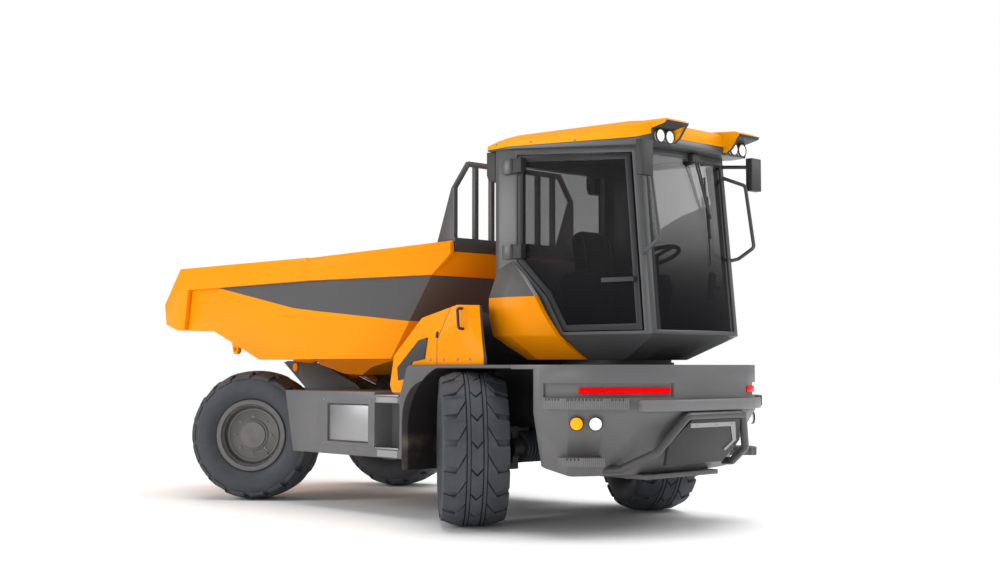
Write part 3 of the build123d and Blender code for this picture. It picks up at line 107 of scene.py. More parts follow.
class Tone:
    """A shader socket that takes part in sums: each operator adds a Math node."""

    def __init__(self, tree, socket):
        self.tree = tree
        self.socket = socket

    def node(self, kind, settings, sockets, out=0):
        """Adds a node, sets it up, and gives one of its outputs."""
        made = self.tree.nodes.new("ShaderNode" + kind)
        for key, value in settings.items():
            setattr(made, key, value)
        for key, value in sockets.items():
            if isinstance(value, Tone):
                self.tree.links.new(value.socket, made.inputs[key])
            else:
                made.inputs[key].default_value = value
        return Tone(self.tree, made.outputs[out])

    def math(self, operation, *others):
        return self.node("Math", {"operation": operation}, dict(enumerate((self, *others))))

    def __add__(self, other):
        return self.math("ADD", other)

    def __radd__(self, other):
        return self.math("ADD", other)

    def __sub__(self, other):
        return self.math("SUBTRACT", other)

    def __rsub__(self, other):
        return self.node("Math", {"operation": "SUBTRACT"}, {0: other, 1: self})

    def __mul__(self, other):
        return self.math("MULTIPLY", other)

    def __rmul__(self, other):
        return self.math("MULTIPLY", other)

    def __truediv__(self, other):
        return self.math("DIVIDE", other)

    def step(self, low, high):
        """0 below low, 1 above high, smooth between."""
        ends = {0: self, 1: low, 2: high, 3: 0.0, 4: 1.0}
        return self.node("MapRange", {"interpolation_type": "SMOOTHSTEP"}, ends)

    def slide(self, low, high, start, end):
        """A straight run from start to end as this value goes from low to high."""
        return self.node("MapRange", {}, {0: self, 1: low, 2: high, 3: start, 4: end})

    def noise(self, scale, detail=3.0, rough=0.5):
        """Cloudy noise from 0 to 1."""
        grain = {"Vector": self, "Scale": scale, "Detail": detail, "Roughness": rough}
        return self.node("TexNoise", {}, grain)

    def axis(self, index):
        """One of a place's three measures."""
        return self.node("SeparateXYZ", {}, {0: self}, index)

    def facing(self, index):
        """How far the surface faces along one axis of the piece."""
        return self.node("TexCoord", {}, {}, 1).axis(index)

    def mix(self, low, high):
        """From one colour to another as this value goes from 0 to 1."""
        return self.node("Mix", {"data_type": "RGBA"}, {0: self, 6: low, 7: high}, 2)


def new_finish(name):
    """An empty finish, with the place on the piece to draw patterns from."""
    material = bpy.data.materials.new(name)
    material.use_nodes = True
    shader = material.node_tree.nodes["Principled BSDF"]
    coordinates = material.node_tree.nodes.new("ShaderNodeTexCoord")
    return material, shader, Tone(material.node_tree, coordinates.outputs["Object"])


def set_finish(shader, values):
    """Sets or links the shader's sockets."""
    for key, value in values.items():
        if isinstance(value, Tone):
            value.tree.links.new(value.socket, shader.inputs[key])
        else:
            shader.inputs[key].default_value = value


floor_finish, shader, place = new_finish("pale_floor")
set_finish(shader, {"Base Color": (0.99, 0.99, 0.99, 1), "Roughness": 0.8 + 0.1 * place.noise(3.0)})
floor.data.materials.append(floor_finish)

# The frame: welded rails and cross boxes, painted dark and dusty from the road.
# Paint here is a thin satin coat over steel, with grime that thickens towards the ground.
CHARCOAL = (0.055, 0.055, 0.058)
ROAD_GRIME = (0.23, 0.20, 0.165, 1)
MERGE_WITHIN = 0.00005
FLAT_WITHIN = math.radians(0.5)
EDGE_TURN = 32


def bumps(height, strength, distance):
    """The normal of a surface with this height."""
    return height.node("Bump", {}, {"Strength": strength, "Distance": distance, "Height": height})


def satin_paint(name, colour, grime_top, roughness=0.45):
    """Satin machine paint: mottled, finely grained, with grime below a height."""
    material, shader, place = new_finish(name)
    mottle = place.noise(2.2, 4.0)
    grain = place.noise(420.0, 2.0)
    grime = (1 - place.axis(2).step(0.0, grime_top)) * place.noise(6.0, 5.0).step(0.42, 0.72)
    dark = tuple(0.86 * c for c in colour) + (1,)
    light = tuple(min(1.0, 1.1 * c) for c in colour) + (1,)
    tone = mottle.mix(dark, light)
    set_finish(shader, {
        "Base Color": (grime * 0.55).mix(tone, ROAD_GRIME),
        "Roughness": roughness + 0.08 * mottle + 0.3 * grime,
        "Normal": bumps(grain, 0.12, 0.0004),
        "Specular IOR Level": 0.35,
        "Coat Weight": 0.12,
        "Coat Roughness": 0.3,
    })
    return material


def body_of(node):
    """The body that a CAD piece moves with."""
    for body, members in frame["record"]["behaviour"]["bodies"].items():
        if node in members:
            return body


def select_only(piece):
    """Makes one piece the selected and active one."""
    bpy.ops.object.select_all(action="DESELECT")
    piece.select_set(True)
    bpy.context.view_layer.objects.active = piece


def copied(piece, name):
    """Another of the same piece, with a mesh of its own."""
    twin = bpy.data.objects.new(name, piece.data.copy())
    scene.collection.objects.link(twin)
    return twin


def bevelled(piece, width, segments, degrees):
    """Rounds off the edges that turn by more than an angle."""
    select_only(piece)
    edges = piece.modifiers.new("edges", "BEVEL")
    edges.width = width
    edges.segments = segments
    edges.limit_method = "ANGLE"
    edges.angle_limit = math.radians(degrees)
    bpy.ops.object.modifier_apply(modifier="edges")


def smoothed(piece, degrees):
    """Shades a piece smooth, apart from edges that turn by more than an angle."""
    select_only(piece)
    bpy.ops.object.shade_smooth_by_angle(angle=math.radians(degrees))


def rounded(node, finish, width):
    """Stands for a CAD piece: the same shape with its edges rounded off."""
    piece = copied(nodes[node], node + "_skin")
    select_only(piece)
    bpy.ops.mesh.customdata_custom_splitnormals_clear()
    bpy.ops.object.mode_set(mode="EDIT")
    bpy.ops.mesh.select_all(action="SELECT")
    bpy.ops.mesh.remove_doubles(threshold=MERGE_WITHIN)
    bpy.ops.mesh.dissolve_limited(angle_limit=FLAT_WITHIN)
    bpy.ops.object.mode_set(mode="OBJECT")
    bevelled(piece, width, 2, EDGE_TURN)
    smoothed(piece, EDGE_TURN)
    piece.data.materials.clear()
    piece.data.materials.append(finish)
    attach(piece, body_of(node))
    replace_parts(piece, node)
    return piece


frame_paint = satin_paint("frame_paint", CHARCOAL, 1.0)
rounded("main_frame", frame_paint, 0.004)
rounded("skip_support", frame_paint, 0.004)
rounded("slew_ring_base", frame_paint, 0.003)

# The axles: cast housings with a bare, oily look, the knuckles on their kingpins,
# and ground steering rods that shine where they slide.
iron, shader, place = new_finish("cast_iron")
pits = place.noise(160.0, 6.0, 0.6)
oil = place.noise(5.0, 4.0).step(0.45, 0.7)
set_finish(shader, {
    "Base Color": oil.mix((0.045, 0.045, 0.047, 1), (0.016, 0.015, 0.014, 1)),
    "Roughness": 0.62 - 0.25 * oil,
    "Metallic": 0.2 + 0.2 * oil,
    "Normal": bumps(pits, 0.4, 0.0012),
})
ground_rod, shader, place = new_finish("ground_rod")
scratches = place.noise(300.0, 2.0)
set_finish(shader, {
    "Base Color": scratches.mix((0.55, 0.55, 0.57, 1), (0.72, 0.72, 0.74, 1)),
    "Metallic": 1.0,
    "Roughness": 0.16 + 0.12 * scratches,
})
CORNERS = ("front_near", "front_far", "rear_near", "rear_far")
for end in ("front", "rear"):
    rounded(end + "_axle", iron, 0.006)
    rounded(end + "_steer_rod", ground_rod, 0.002)
for corner in CORNERS:
    rounded("knuckle_" + corner, iron, 0.004)

# The tipping cylinders: painted barrels pinned to the frame's ears,
# and ground rods that push the skip up.
rounded("tip_barrels", frame_paint, 0.003)
rounded("tip_rods", ground_rod, 0.002)

# Tyres: wide flotation tyres, a smooth carcass spun from its section, with a centre row
# of arrow-shaped blocks and a chevron lug to each shoulder, moulded in blue-black rubber.
rubber, shader, place = new_finish("tyre_rubber")
dust = place.noise(9.0, 6.0, 0.65)
skin = place.noise(260.0, 3.0)
worn = dust.step(0.4, 0.75)
set_finish(shader, {
    "Base Color": (worn * 0.5).mix((0.050, 0.054, 0.062, 1), (0.090, 0.095, 0.104, 1)),
    "Roughness": 0.55 + 0.2 * worn,
    "Specular IOR Level": 0.35,
    "Normal": bumps(skin, 0.2, 0.0006),
})
TYRE_RADIUS = 0.5838
TREAD_DEPTH = 0.030
PITCHES = 18
LUG_PITCH = 2 * math.pi * TYRE_RADIUS / PITCHES
TYRE_STEPS = 90
CARCASS = [
    # radius, distance across from the middle
    (0.300, 0.185), (0.324, 0.186), (0.345, 0.206), (0.385, 0.233), (0.430, 0.2465), (0.470, 0.2455),
    (0.505, 0.238), (0.526, 0.226), (0.538, 0.205), (0.5465, 0.150), (0.552, 0.075), (0.5535, 0.0),
]
GROOVE_RIB = [
    # radius, distance across from the middle
    (0.545, 0.050), (0.5805, 0.050), (0.5805, 0.071), (0.545, 0.071),
]
CENTRE_BLOCK = [
    # along the tread, across it
    (0.060, 0.0), (0.010, 0.043), (-0.180, 0.043), (-0.130, 0.0), (-0.180, -0.043), (0.010, -0.043),
]
SHOULDER_LUG = [
    # along the tread, across it
    (0.000, 0.243), (0.008, 0.136), (-0.098, 0.078), (-0.287, 0.078), (-0.184, 0.138), (-0.150, 0.150),
    (-0.156, 0.243),
]
BEND_STEP = 0.024
CROWN_FALL = 0.012
SHOULDER_AT = 0.205
SHOULDER_SLOPE = 0.8
PLATE_TURN = 30


def spun(name, section, steps):
    """A closed ring made by spinning a section of (radius, along the axis) about Y."""
    bpy.ops.object.select_all(action="DESELECT")
    bpy.ops.mesh.primitive_circle_add(vertices=len(section), radius=1, fill_type="NOTHING")
    piece = bpy.context.object
    piece.name = name
    for vertex, (radius, along) in zip(piece.data.vertices, section):
        vertex.co = (radius, along, 0)
    bpy.ops.object.mode_set(mode="EDIT")
    bpy.ops.mesh.select_all(action="SELECT")
    bpy.ops.mesh.spin(steps=steps, angle=2 * math.pi, center=(0, 0, 0), axis=(0, 1, 0))
    bpy.ops.mesh.select_all(action="SELECT")
    bpy.ops.mesh.remove_doubles(threshold=0.0001)
    bpy.ops.mesh.normals_make_consistent(inside=False)
    bpy.ops.object.mode_set(mode="OBJECT")
    return piece


def plate(name, outline, thickness, bevel=0.0, segments=1):
    """A flat plate: an outline in X and Y, extruded up by its thickness, edges rounded."""
    bpy.ops.object.select_all(action="DESELECT")
    bpy.ops.mesh.primitive_circle_add(vertices=len(outline), radius=1, fill_type="NGON")
    piece = bpy.context.object
    piece.name = name
    for vertex, (x, y) in zip(piece.data.vertices, outline):
        vertex.co = (x, y, 0)
    bpy.ops.object.mode_set(mode="EDIT")
    bpy.ops.mesh.select_all(action="SELECT")
    bpy.ops.mesh.extrude_region_move(TRANSFORM_OT_translate={"value": (0, 0, thickness)})
    bpy.ops.mesh.select_all(action="SELECT")
    bpy.ops.mesh.normals_make_consistent(inside=False)
    bpy.ops.object.mode_set(mode="OBJECT")
    if bevel:
        bevelled(piece, bevel, segments, PLATE_TURN)
    return piece


def joined(name, pieces):
    """One piece made of several."""
    bpy.ops.object.select_all(action="DESELECT")
    for piece in pieces:
        piece.select_set(True)
    bpy.context.view_layer.objects.active = pieces[0]
    bpy.ops.object.join()
    pieces[0].name = name
    return pieces[0]


def sliced(piece, step):
    """Cuts a flat piece across at even steps along X, so that it can be bent."""
    select_only(piece)
    low = min(vertex.co.x for vertex in piece.data.vertices)
    high = max(vertex.co.x for vertex in piece.data.vertices)
    bpy.ops.object.mode_set(mode="EDIT")
    for index in range(1, int((high - low) / step)):
        bpy.ops.mesh.select_all(action="SELECT")
        bpy.ops.mesh.bisect(plane_co=(low + index * step, 0, 0), plane_no=(1, 0, 0))
    bpy.ops.object.mode_set(mode="OBJECT")


def crown(across):
    """How far the tread's face falls from the middle to the shoulder."""
    past = max(0.0, abs(across) - SHOULDER_AT)
    return CROWN_FALL * (across / SHOULDER_AT) ** 2 + past * SHOULDER_SLOPE


def wrapped(piece, start):
    """Lays a flat tread block round the wheel, its face following the crown."""
    for vertex in piece.data.vertices:
        turn = (vertex.co.x + start) / TYRE_RADIUS
        radius = TYRE_RADIUS - crown(vertex.co.y) - TREAD_DEPTH + vertex.co.z
        vertex.co = (radius * math.sin(turn), vertex.co.y, radius * math.cos(turn))


section = CARCASS + [(radius, -along) for radius, along in CARCASS[-2::-1]]
blocks = [spun("tyre", section, TYRE_STEPS)]
for side in (-1, 1):
    blocks.append(spun("rib", [(radius, side * along) for radius, along in GROOVE_RIB], TYRE_STEPS))
centre_block = plate("centre_block", CENTRE_BLOCK, TREAD_DEPTH, 0.004)
shoulder_lug = plate("shoulder_lug", SHOULDER_LUG, TREAD_DEPTH, 0.005)
for piece in (centre_block, shoulder_lug):
    sliced(piece, BEND_STEP)
for pitch in range(PITCHES):
    for piece, side in ((centre_block, 1), (shoulder_lug, 1), (shoulder_lug, -1)):
        block = copied(piece, "block")
        for vertex in block.data.vertices:
            vertex.co.y *= side
        wrapped(block, pitch * LUG_PITCH)
        if side < 0:
            block.data.flip_normals()
        blocks.append(block)
for piece in (centre_block, shoulder_lug):
    bpy.data.objects.remove(piece)
tyre = joined("tyre", blocks)
smoothed(tyre, 28)
tyre.data.materials.append(rubber)

STEERED = {"front_near": 38, "front_far": 27, "rear_near": -38, "rear_far": -27}
AXLE_X = {"front": -1.675, "rear": 1.475}
KINGPIN_Y = 0.770
WHEEL_OFFSET = 0.180
HUB_Z = 0.585


def at_wheel(piece, corner):
    """Puts a piece made about Y, outside at +Y, at a corner's wheel; the place goes into its mesh."""
    end, side = corner.split("_")
    out = -1 if side == "near" else 1
    if side == "near":
        for vertex in piece.data.vertices:
            vertex.co.y = -vertex.co.y
        piece.data.flip_normals()
    steer = math.radians(STEERED[corner])
    for vertex in piece.data.vertices:
        x, y = vertex.co.x, vertex.co.y + out * WHEEL_OFFSET
        vertex.co.x = AXLE_X[end] + x * math.cos(steer) - y * math.sin(steer)
        vertex.co.y = out * KINGPIN_Y + x * math.sin(steer) + y * math.cos(steer)
        vertex.co.z += HUB_Z


for corner in CORNERS:
    piece = copied(tyre, "tyre_tread_" + corner)
    at_wheel(piece, corner)
    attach(piece, "wheel_" + corner)
    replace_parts(piece, "tyre_" + corner)
bpy.data.objects.remove(tyre)

# Rims: dished steel wheels in grey paint, each held by a ring of nuts on studs,
# with a broad flat hub cap inside the ring and a valve at the disc's edge.
wheel_paint = satin_paint("wheel_paint", (0.135, 0.132, 0.130), 0.4, 0.32)
zinc, shader, place = new_finish("zinc_plate")
tarnish = place.noise(40.0, 4.0)
set_finish(shader, {
    "Base Color": tarnish.mix((0.20, 0.20, 0.205, 1), (0.34, 0.34, 0.35, 1)),
    "Metallic": 0.9,
    "Roughness": 0.35 + 0.25 * tarnish,
})
NUT_CIRCLE = 0.170
NUT_COUNT = 8
VALVE_CIRCLE = 0.215
VALVE_TURN = math.radians(140)
DISC_FACE = 0.120
HUB_FACE = 0.132
# The turned pieces are given as distance out, radius.
NUT = [(0.0, 0.017), (0.003, 0.017), (0.004, 0.0135), (0.015, 0.0135), (0.018, 0.010)]
STUD = [(0.014, 0.007), (0.026, 0.007), (0.028, 0.005)]
VALVE = [(0.0, 0.006), (0.020, 0.006), (0.021, 0.0045), (0.038, 0.0045), (0.040, 0.003)]
HUB_CAP = [(0.0, 0.122), (0.014, 0.122), (0.019, 0.117), (0.020, 0.040), (0.018, 0.036)]
RIM_STEPS = [
    # radius and distance out of the rings pressed into the barrel and the disc's edge
    [(0.262, 0.150), (0.286, 0.150), (0.286, 0.163), (0.268, 0.167)],
    [(0.222, 0.117), (0.243, 0.117), (0.240, 0.127), (0.225, 0.127)],
]


def turned(name, levels, sides):
    """A turned piece about Y: rings of (distance along Y, radius), closed at both ends."""
    rings = [(radius, along) for along, radius in levels]
    return spun(name, [(0.0, levels[0][0])] + rings + [(0.0, levels[-1][0])], sides)


def shifted(piece, x, y, z):
    """Moves a piece's mesh."""
    for vertex in piece.data.vertices:
        vertex.co += Vector((x, y, z))
    return piece


def on_circle(radius, turn):
    """A place on the disc's face, at a radius and a turn from the top."""
    return radius * math.sin(turn), DISC_FACE, radius * math.cos(turn)


nuts = []
for index in range(NUT_COUNT):
    at = on_circle(NUT_CIRCLE, 2 * math.pi * index / NUT_COUNT)
    nuts += [shifted(turned("nut", NUT, 6), *at), shifted(turned("stud", STUD, 10), *at)]
nuts.append(shifted(turned("valve", VALVE, 10), *on_circle(VALVE_CIRCLE, VALVE_TURN)))
stud_set = joined("wheel_nuts", nuts)
smoothed(stud_set, 35)
stud_set.data.materials.append(zinc)
hub_cap = shifted(turned("hub_cap", HUB_CAP, 48), 0, HUB_FACE, 0)
rim_rings = joined("rim_rings", [spun("ring", section, 72) for section in RIM_STEPS])
for piece in (hub_cap, rim_rings):
    smoothed(piece, 30)
    piece.data.materials.append(wheel_paint)
for corner in CORNERS:
    rounded("rim_" + corner, wheel_paint, 0.005)
    for source, slot in ((stud_set, "bright_steel"), (hub_cap, "grey_paint"), (rim_rings, "grey_paint")):
        piece = copied(source, source.name + "_" + corner)
        at_wheel(piece, corner)
        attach(piece, "wheel_" + corner)
for source in (stud_set, hub_cap, rim_rings):
    bpy.data.objects.remove(source)

# Axle boots: ribbed rubber sleeves over the rear axle's arms, moulded in one piece
# and pushed on beside the differential.
BOOT_START = 0.290
BOOT_END = 0.530
BOOT_RIBS = 7
BOOT_BORE = 0.088
BOOT_CORE = 0.097
BOOT_CREST = 0.122
RIB_SHAPE = [
    # share of a rib's pitch, radius
    (0.0, BOOT_CORE), (0.40, BOOT_CORE), (0.52, BOOT_CREST), (0.88, BOOT_CREST),
]
RIB_PITCH = (BOOT_END - BOOT_START) / BOOT_RIBS


def finished(piece, finish, body, degrees=30):
    """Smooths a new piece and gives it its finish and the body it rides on."""
    smoothed(piece, degrees)
    piece.data.materials.append(finish)
    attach(piece, body)
    return piece


boot_section = []
for index in range(BOOT_RIBS):
    boot_section += [(radius, BOOT_START + (index + share) * RIB_PITCH) for share, radius in RIB_SHAPE]
boot_section += [(BOOT_CORE, BOOT_END), (BOOT_BORE, BOOT_END), (BOOT_BORE, BOOT_START)]
for side, name in ((-1, "near"), (1, "far")):
    boot = spun("axle_boot_" + name, [(radius, side * along) for radius, along in boot_section], 48)
    finished(shifted(boot, AXLE_X["rear"], 0, HUB_Z), rubber, "chassis")

# The engine hood: a pressed cover in the machine's bright paint, its hollow wall beside
# the cab dark. The paint is a glossy two-coat enamel over primer, slightly peeled and dusty.
ORANGE = (0.93, 0.300, 0.002)
DARK_GREY = (0.050, 0.050, 0.053)
DRY_DUST = (0.36, 0.30, 0.22, 1)
DUST_FOOT = 0.6
SWING_X = 2.050
HOLLOW = 1.099
DOOR_SEAM = ((1.058, 1.413), (1.210, 1.650))
HOOD_SIDE = 1.000
LATCH = [(1.047, 1.430), (1.071, 1.430), (1.079, 1.478), (1.057, 1.478)]
FOOT_BOLTS = [(0.98, 1.262), (1.14, 1.262), (1.30, 1.262), (1.44, 1.262)]
BOLT_REACH = 2.0


def gloss_paint(name, colour, dust_top, second=None, where=None):
    """Glossy enamel: even colour, fine peel, a clear coat, dust low down, and a second colour."""
    material, shader, place = new_finish(name)
    cloud = place.noise(1.4, 3.0)
    peel = place.noise(95.0, 2.0)
    dust = (1 - place.axis(2).step(DUST_FOOT, dust_top)) * place.noise(4.0, 6.0).step(0.45, 0.75)
    low = tuple(0.95 * c for c in colour) + (1,)
    high = tuple(min(1.0, 1.04 * c) for c in colour) + (1,)
    tone = cloud.mix(low, high)
    if where:
        tone = where(place).mix(tone, second + (1,))
    set_finish(shader, {
        "Base Color": (dust * 0.25).mix(tone, DRY_DUST),
        "Roughness": 0.36 + 0.06 * cloud + 0.3 * dust,
        "Normal": bumps(peel, 0.04, 0.0005),
        "Specular IOR Level": 0.06,
        "Coat Weight": 0.05 - 0.03 * dust,
        "Coat Roughness": 0.10,
    })
    return material


def hood_dark(place):
    """1 on the wall that stands round the turning cab, and in the seams of the side doors."""
    out_x = place.axis(0) - SWING_X
    out_y = place.axis(1)
    hollow = 1 - (out_x * out_x + out_y * out_y).math("SQRT").step(HOLLOW, HOLLOW + 0.002)
    (low_x, low_z), (high_x, high_z) = DOOR_SEAM
    off = (place.axis(0) - place.axis(2).slide(low_z, high_z, low_x, high_x)).math("ABSOLUTE")
    seam = (1 - off.step(0.002, 0.005)) * place.facing(1).math("ABSOLUTE").step(0.8, 0.9)
    return hollow.math("MAXIMUM", seam)


def dress(node, finish):
    """Gives a CAD piece its finish."""
    nodes[node].data.materials.clear()
    nodes[node].data.materials.append(finish)


def on_side(piece, wall):
    """Stands a flat plate on a side wall: its X along the machine, its Y up, its back on the wall."""
    for vertex in piece.data.vertices:
        x, y, z = vertex.co
        vertex.co = (x, wall + math.copysign(z, wall), y)
    if wall > 0:
        piece.data.flip_normals()
    return piece


def from_sides(places):
    """Lines from both sides of the machine inwards, at places along it and up."""
    return [((x, side * BOLT_REACH, z), (0, -side, 0)) for x, z in places for side in (-1, 1)]


def bolts(name, carrier, body, lines, radius):
    """Domed bolt heads where straight lines meet the piece that carries them."""
    dome = [(-0.003, radius), (0.3 * radius, radius), (0.6 * radius, 0.65 * radius)]
    heads = []
    for start, towards in lines:
        _, at, normal, _ = carrier.ray_cast(Vector(start), Vector(towards))
        head = turned("head", dome, 12)
        turn = Vector((0, 1, 0)).rotation_difference(normal).to_matrix().to_4x4()
        head.data.transform(Matrix.Translation(at) @ turn)
        heads.append(head)
    finished(joined(name, heads), zinc, body, 35)


hood_paint = gloss_paint("hood_paint", ORANGE, 1.4, DARK_GREY, hood_dark)
hood = rounded("engine_hood", hood_paint, 0.012)
plastic, shader, place = new_finish("black_plastic")
leather = place.node("TexVoronoi", {}, {"Vector": place, "Scale": 330.0})
haze = place.noise(3.0, 4.0)
set_finish(shader, {
    "Base Color": haze.mix((0.016, 0.016, 0.017, 1), (0.030, 0.030, 0.032, 1)),
    "Roughness": 0.48 + 0.12 * haze,
    "Normal": bumps(leather, 0.18, 0.0005),
})
rounded("hood_trim", plastic, 0.003)
dress("engine_block", iron)
for wall, name in ((-HOOD_SIDE, "near"), (HOOD_SIDE, "far")):
    latch = on_side(plate("hood_latch_" + name, LATCH, 0.012, 0.003), wall)
    finished(latch, plastic, "chassis")
bolts("hood_bolts", hood, "chassis", from_sides(FOOT_BOLTS), 0.010)

# Fenders: thick pressed sheet in mid-grey paint over the rear wheels, with a dark liner colour painted
# into each wheel arch, partly a liner and partly painted shade of the recessed arch, and painted shade
# on what faces down.
GREY = (0.130, 0.130, 0.134)
LINER_AND_SHADE = (0.022, 0.020, 0.020)
ARCH_HALF = 0.785
ARCH_HIGH = 0.545


def arch_liner_and_shade(place):
    """1 on the fenders' sides inside the wheel arch, a liner colour that is also painted shade of the
    recess, and on what faces down, as painted shade.
    """
    along = (place.axis(0) - AXLE_X["rear"]) / ARCH_HALF
    up = (place.axis(2) - HUB_Z) / ARCH_HIGH
    out = along.math("POWER", 4.0) + up.math("POWER", 4.0)
    inside = (1 - out.step(0.97, 1.03)) * (1 - along.step(0.3, 0.35))
    return inside.math("MAXIMUM", 1 - place.facing(2).step(-0.3, -0.2))


# The fenders' second colour is partly a dark liner and partly painted shade, in the arch and on downward
# faces.
fender_paint = gloss_paint("fender_paint", GREY, 0.7, LINER_AND_SHADE, arch_liner_and_shade)
rounded("rear_fenders", fender_paint, 0.012)

# Side boxes: welded steel boxes between the wheels in grey satin paint, each with a brushed
# panel let into its wall and bare plates bolted to the column that carries the step.
grey_paint = satin_paint("grey_paint", GREY, 1.1, 0.38)
brushed, shader, place = new_finish("brushed_steel")
streaks = place.node("Mapping", {}, {"Vector": place, "Scale": (4.0, 4.0, 260.0)}).noise(2.0, 4.0)
set_finish(shader, {
    "Base Color": streaks.mix((0.27, 0.27, 0.275, 1), (0.40, 0.40, 0.41, 1)),
    "Metallic": 1.0,
    "Roughness": 0.34 + 0.2 * streaks,
    "Normal": bumps(streaks, 0.1, 0.0003),
})
BOX_SIDE = 1.010
BARE_PLATES = [
    # lowest and highest corner along the machine and up
    ((0.315, 0.916), (0.590, 0.960)),
    ((0.330, 0.478), (0.590, 0.532)),
]
BOX_BOLTS = [
    # along the machine, up
    (0.335, 0.938), (0.335, 0.505), (0.570, 0.938), (0.570, 0.505),
    (-0.40, 0.56), (-0.40, 0.93), (0.23, 0.56), (0.23, 0.93),
]


def soft_corners(low, high, radius, steps=4):
    """The outline of a rectangle with round corners."""
    points = []
    centres = [(high[0] - radius, high[1] - radius), (low[0] + radius, high[1] - radius)]
    centres += [(low[0] + radius, low[1] + radius), (high[0] - radius, low[1] + radius)]
    for corner, (x, y) in enumerate(centres):
        for step in range(steps + 1):
            turn = math.radians(90 * (corner + step / steps))
            points.append((x + radius * math.cos(turn), y + radius * math.sin(turn)))
    return points


boxes = rounded("side_boxes", grey_paint, 0.014)
rounded("side_plates", brushed, 0.002)
for wall, name in ((-BOX_SIDE, "near"), (BOX_SIDE, "far")):
    sheets = [plate("sheet", soft_corners(low, high, 0.008), 0.003, 0.001) for low, high in BARE_PLATES]
    finished(on_side(joined("step_plates_" + name, sheets), wall), brushed, "chassis")
bolts("box_bolts", boxes, "chassis", from_sides(BOX_BOLTS), 0.009)

# The bumper: a cast shell round the tail in the same grey, with a beam across it in a lighter grey as a
# painted highlight,
# serrated steps bolted on at two heights and a tow plate below.
# The beam's lighter grey is a painted highlight that stands in for the lit band across the bumper.
lit_beam_paint = satin_paint("lit_beam_paint", (0.185, 0.185, 0.190), 0.9, 0.36)
rounded("rear_bumper", grey_paint, 0.012)
rounded("bumper_beam", lit_beam_paint, 0.012)
step_tread, shader, place = new_finish("step_tread")
along = place.axis(0) * 0.8 - place.axis(1).math("ABSOLUTE") * 0.6
ribs = (along * 480.0).math("SINE").step(-0.3, 0.5) * (1 - place.facing(2).step(0.5, 0.7))
scuff = place.noise(30.0, 5.0)
set_finish(shader, {
    "Base Color": (0.7 * ribs + 0.3 * scuff).mix((0.105, 0.105, 0.108, 1), (0.205, 0.205, 0.210, 1)),
    "Roughness": 0.42 + 0.2 * scuff,
    "Specular IOR Level": 0.35,
    "Normal": bumps(ribs, 0.35, 0.003),
})
rounded("bumper_steps", step_tread, 0.003)
rounded("tow_plate", grey_paint, 0.004)

# The guard: a bent tube round the tail in dark satin paint, with a black plate inside it
# whose edge is trimmed by a brushed strip under bolts.
loop_paint = satin_paint("loop_paint", (0.075, 0.075, 0.078), 0.9, 0.3)
rounded("guard_loop", loop_paint, 0.002)
guard = rounded("guard_plate", plastic, 0.004)
EDGE_STRIP = [
    # across the machine, up
    (-0.290, 0.806), (-0.262, 0.772), (0.205, 0.772), (0.318, 0.662), (0.262, 0.598), (0.292, 0.584),
    (0.362, 0.664), (0.232, 0.806),
]
GUARD_FOOT_X = 2.790
GUARD_FOOT_Z = 0.5
GUARD_LEAN = 0.628
GUARD_OUT = Vector((0.847, 0, -0.532))
STRIP_BOLT_Y = (-0.20, 0.02, 0.20)
STRIP_BOLT_FROM_X = 3.4
STRIP_BOLT_FROM_Z = 0.521
strip = plate("guard_strip", EDGE_STRIP, 0.004, 0.001)
for vertex in strip.data.vertices:
    across, up, out = vertex.co
    lean = (up - GUARD_FOOT_Z) * GUARD_LEAN
    vertex.co = Vector((GUARD_FOOT_X + lean, across, up)) + out * GUARD_OUT
finished(strip, brushed, "chassis")
strip_lines = [((STRIP_BOLT_FROM_X, y, STRIP_BOLT_FROM_Z), -GUARD_OUT) for y in STRIP_BOLT_Y]
bolts("guard_bolts", guard, "chassis", strip_lines, 0.010)

# Tail lamps: two long red bars let into the bumper, and below each a round pair, the outer
# one amber, moulded in clear plastic and held by black rings.
LAMP_SPLIT = 2.580
CLEAR_WHITE = (0.95, 0.95, 0.92)
AMBER = (0.95, 0.36, 0.01)
PAIR_AT = ((2.518, 0.966), (2.625, 0.886))
PAIR_Z = 0.808
PAIR_OUT = (0.6, 0.8)
LENS_STANDS = 0.034
BEZEL = [
    # radius, distance out
    (0.043, -0.006), (0.051, -0.006), (0.051, 0.004), (0.048, 0.008), (0.044, 0.008),
]


def lens_finish(name, colour, glow, second=None, where=None):
    """A moulded lamp lens over a bright reflector, faceted inside."""
    material, shader, place = new_finish(name)
    facets = place.node("TexVoronoi", {}, {"Vector": place, "Scale": 90.0})
    tone = facets.mix(tuple(0.7 * c for c in colour) + (1,), colour + (1,))
    if where:
        tone = where(place).mix(tone, second + (1,))
    set_finish(shader, {
        "Base Color": tone,
        "Roughness": 0.12 + 0.05 * facets,
        "Normal": bumps(facets, 0.1, 0.001),
        "Specular IOR Level": 0.03,
        "Coat Weight": 0.03,
        "Coat Roughness": 0.03,
        "Emission Color": tone,
        "Emission Strength": glow,
    })
    return material


def turn_signal(place):
    """1 on the outer lamp of each pair."""
    return 1 - place.axis(0).step(LAMP_SPLIT, LAMP_SPLIT + 0.002)


def bezels(name, lamps, body):
    """The rings that hold a set of round lenses, each at a place and facing a way."""
    rings = []
    for at, towards in lamps:
        ring = spun("ring", BEZEL, 40)
        turn = Vector((0, 1, 0)).rotation_difference(Vector(towards)).to_matrix().to_4x4()
        ring.data.transform(Matrix.Translation(at) @ turn)
        rings.append(ring)
    finished(joined(name, rings), plastic, body)


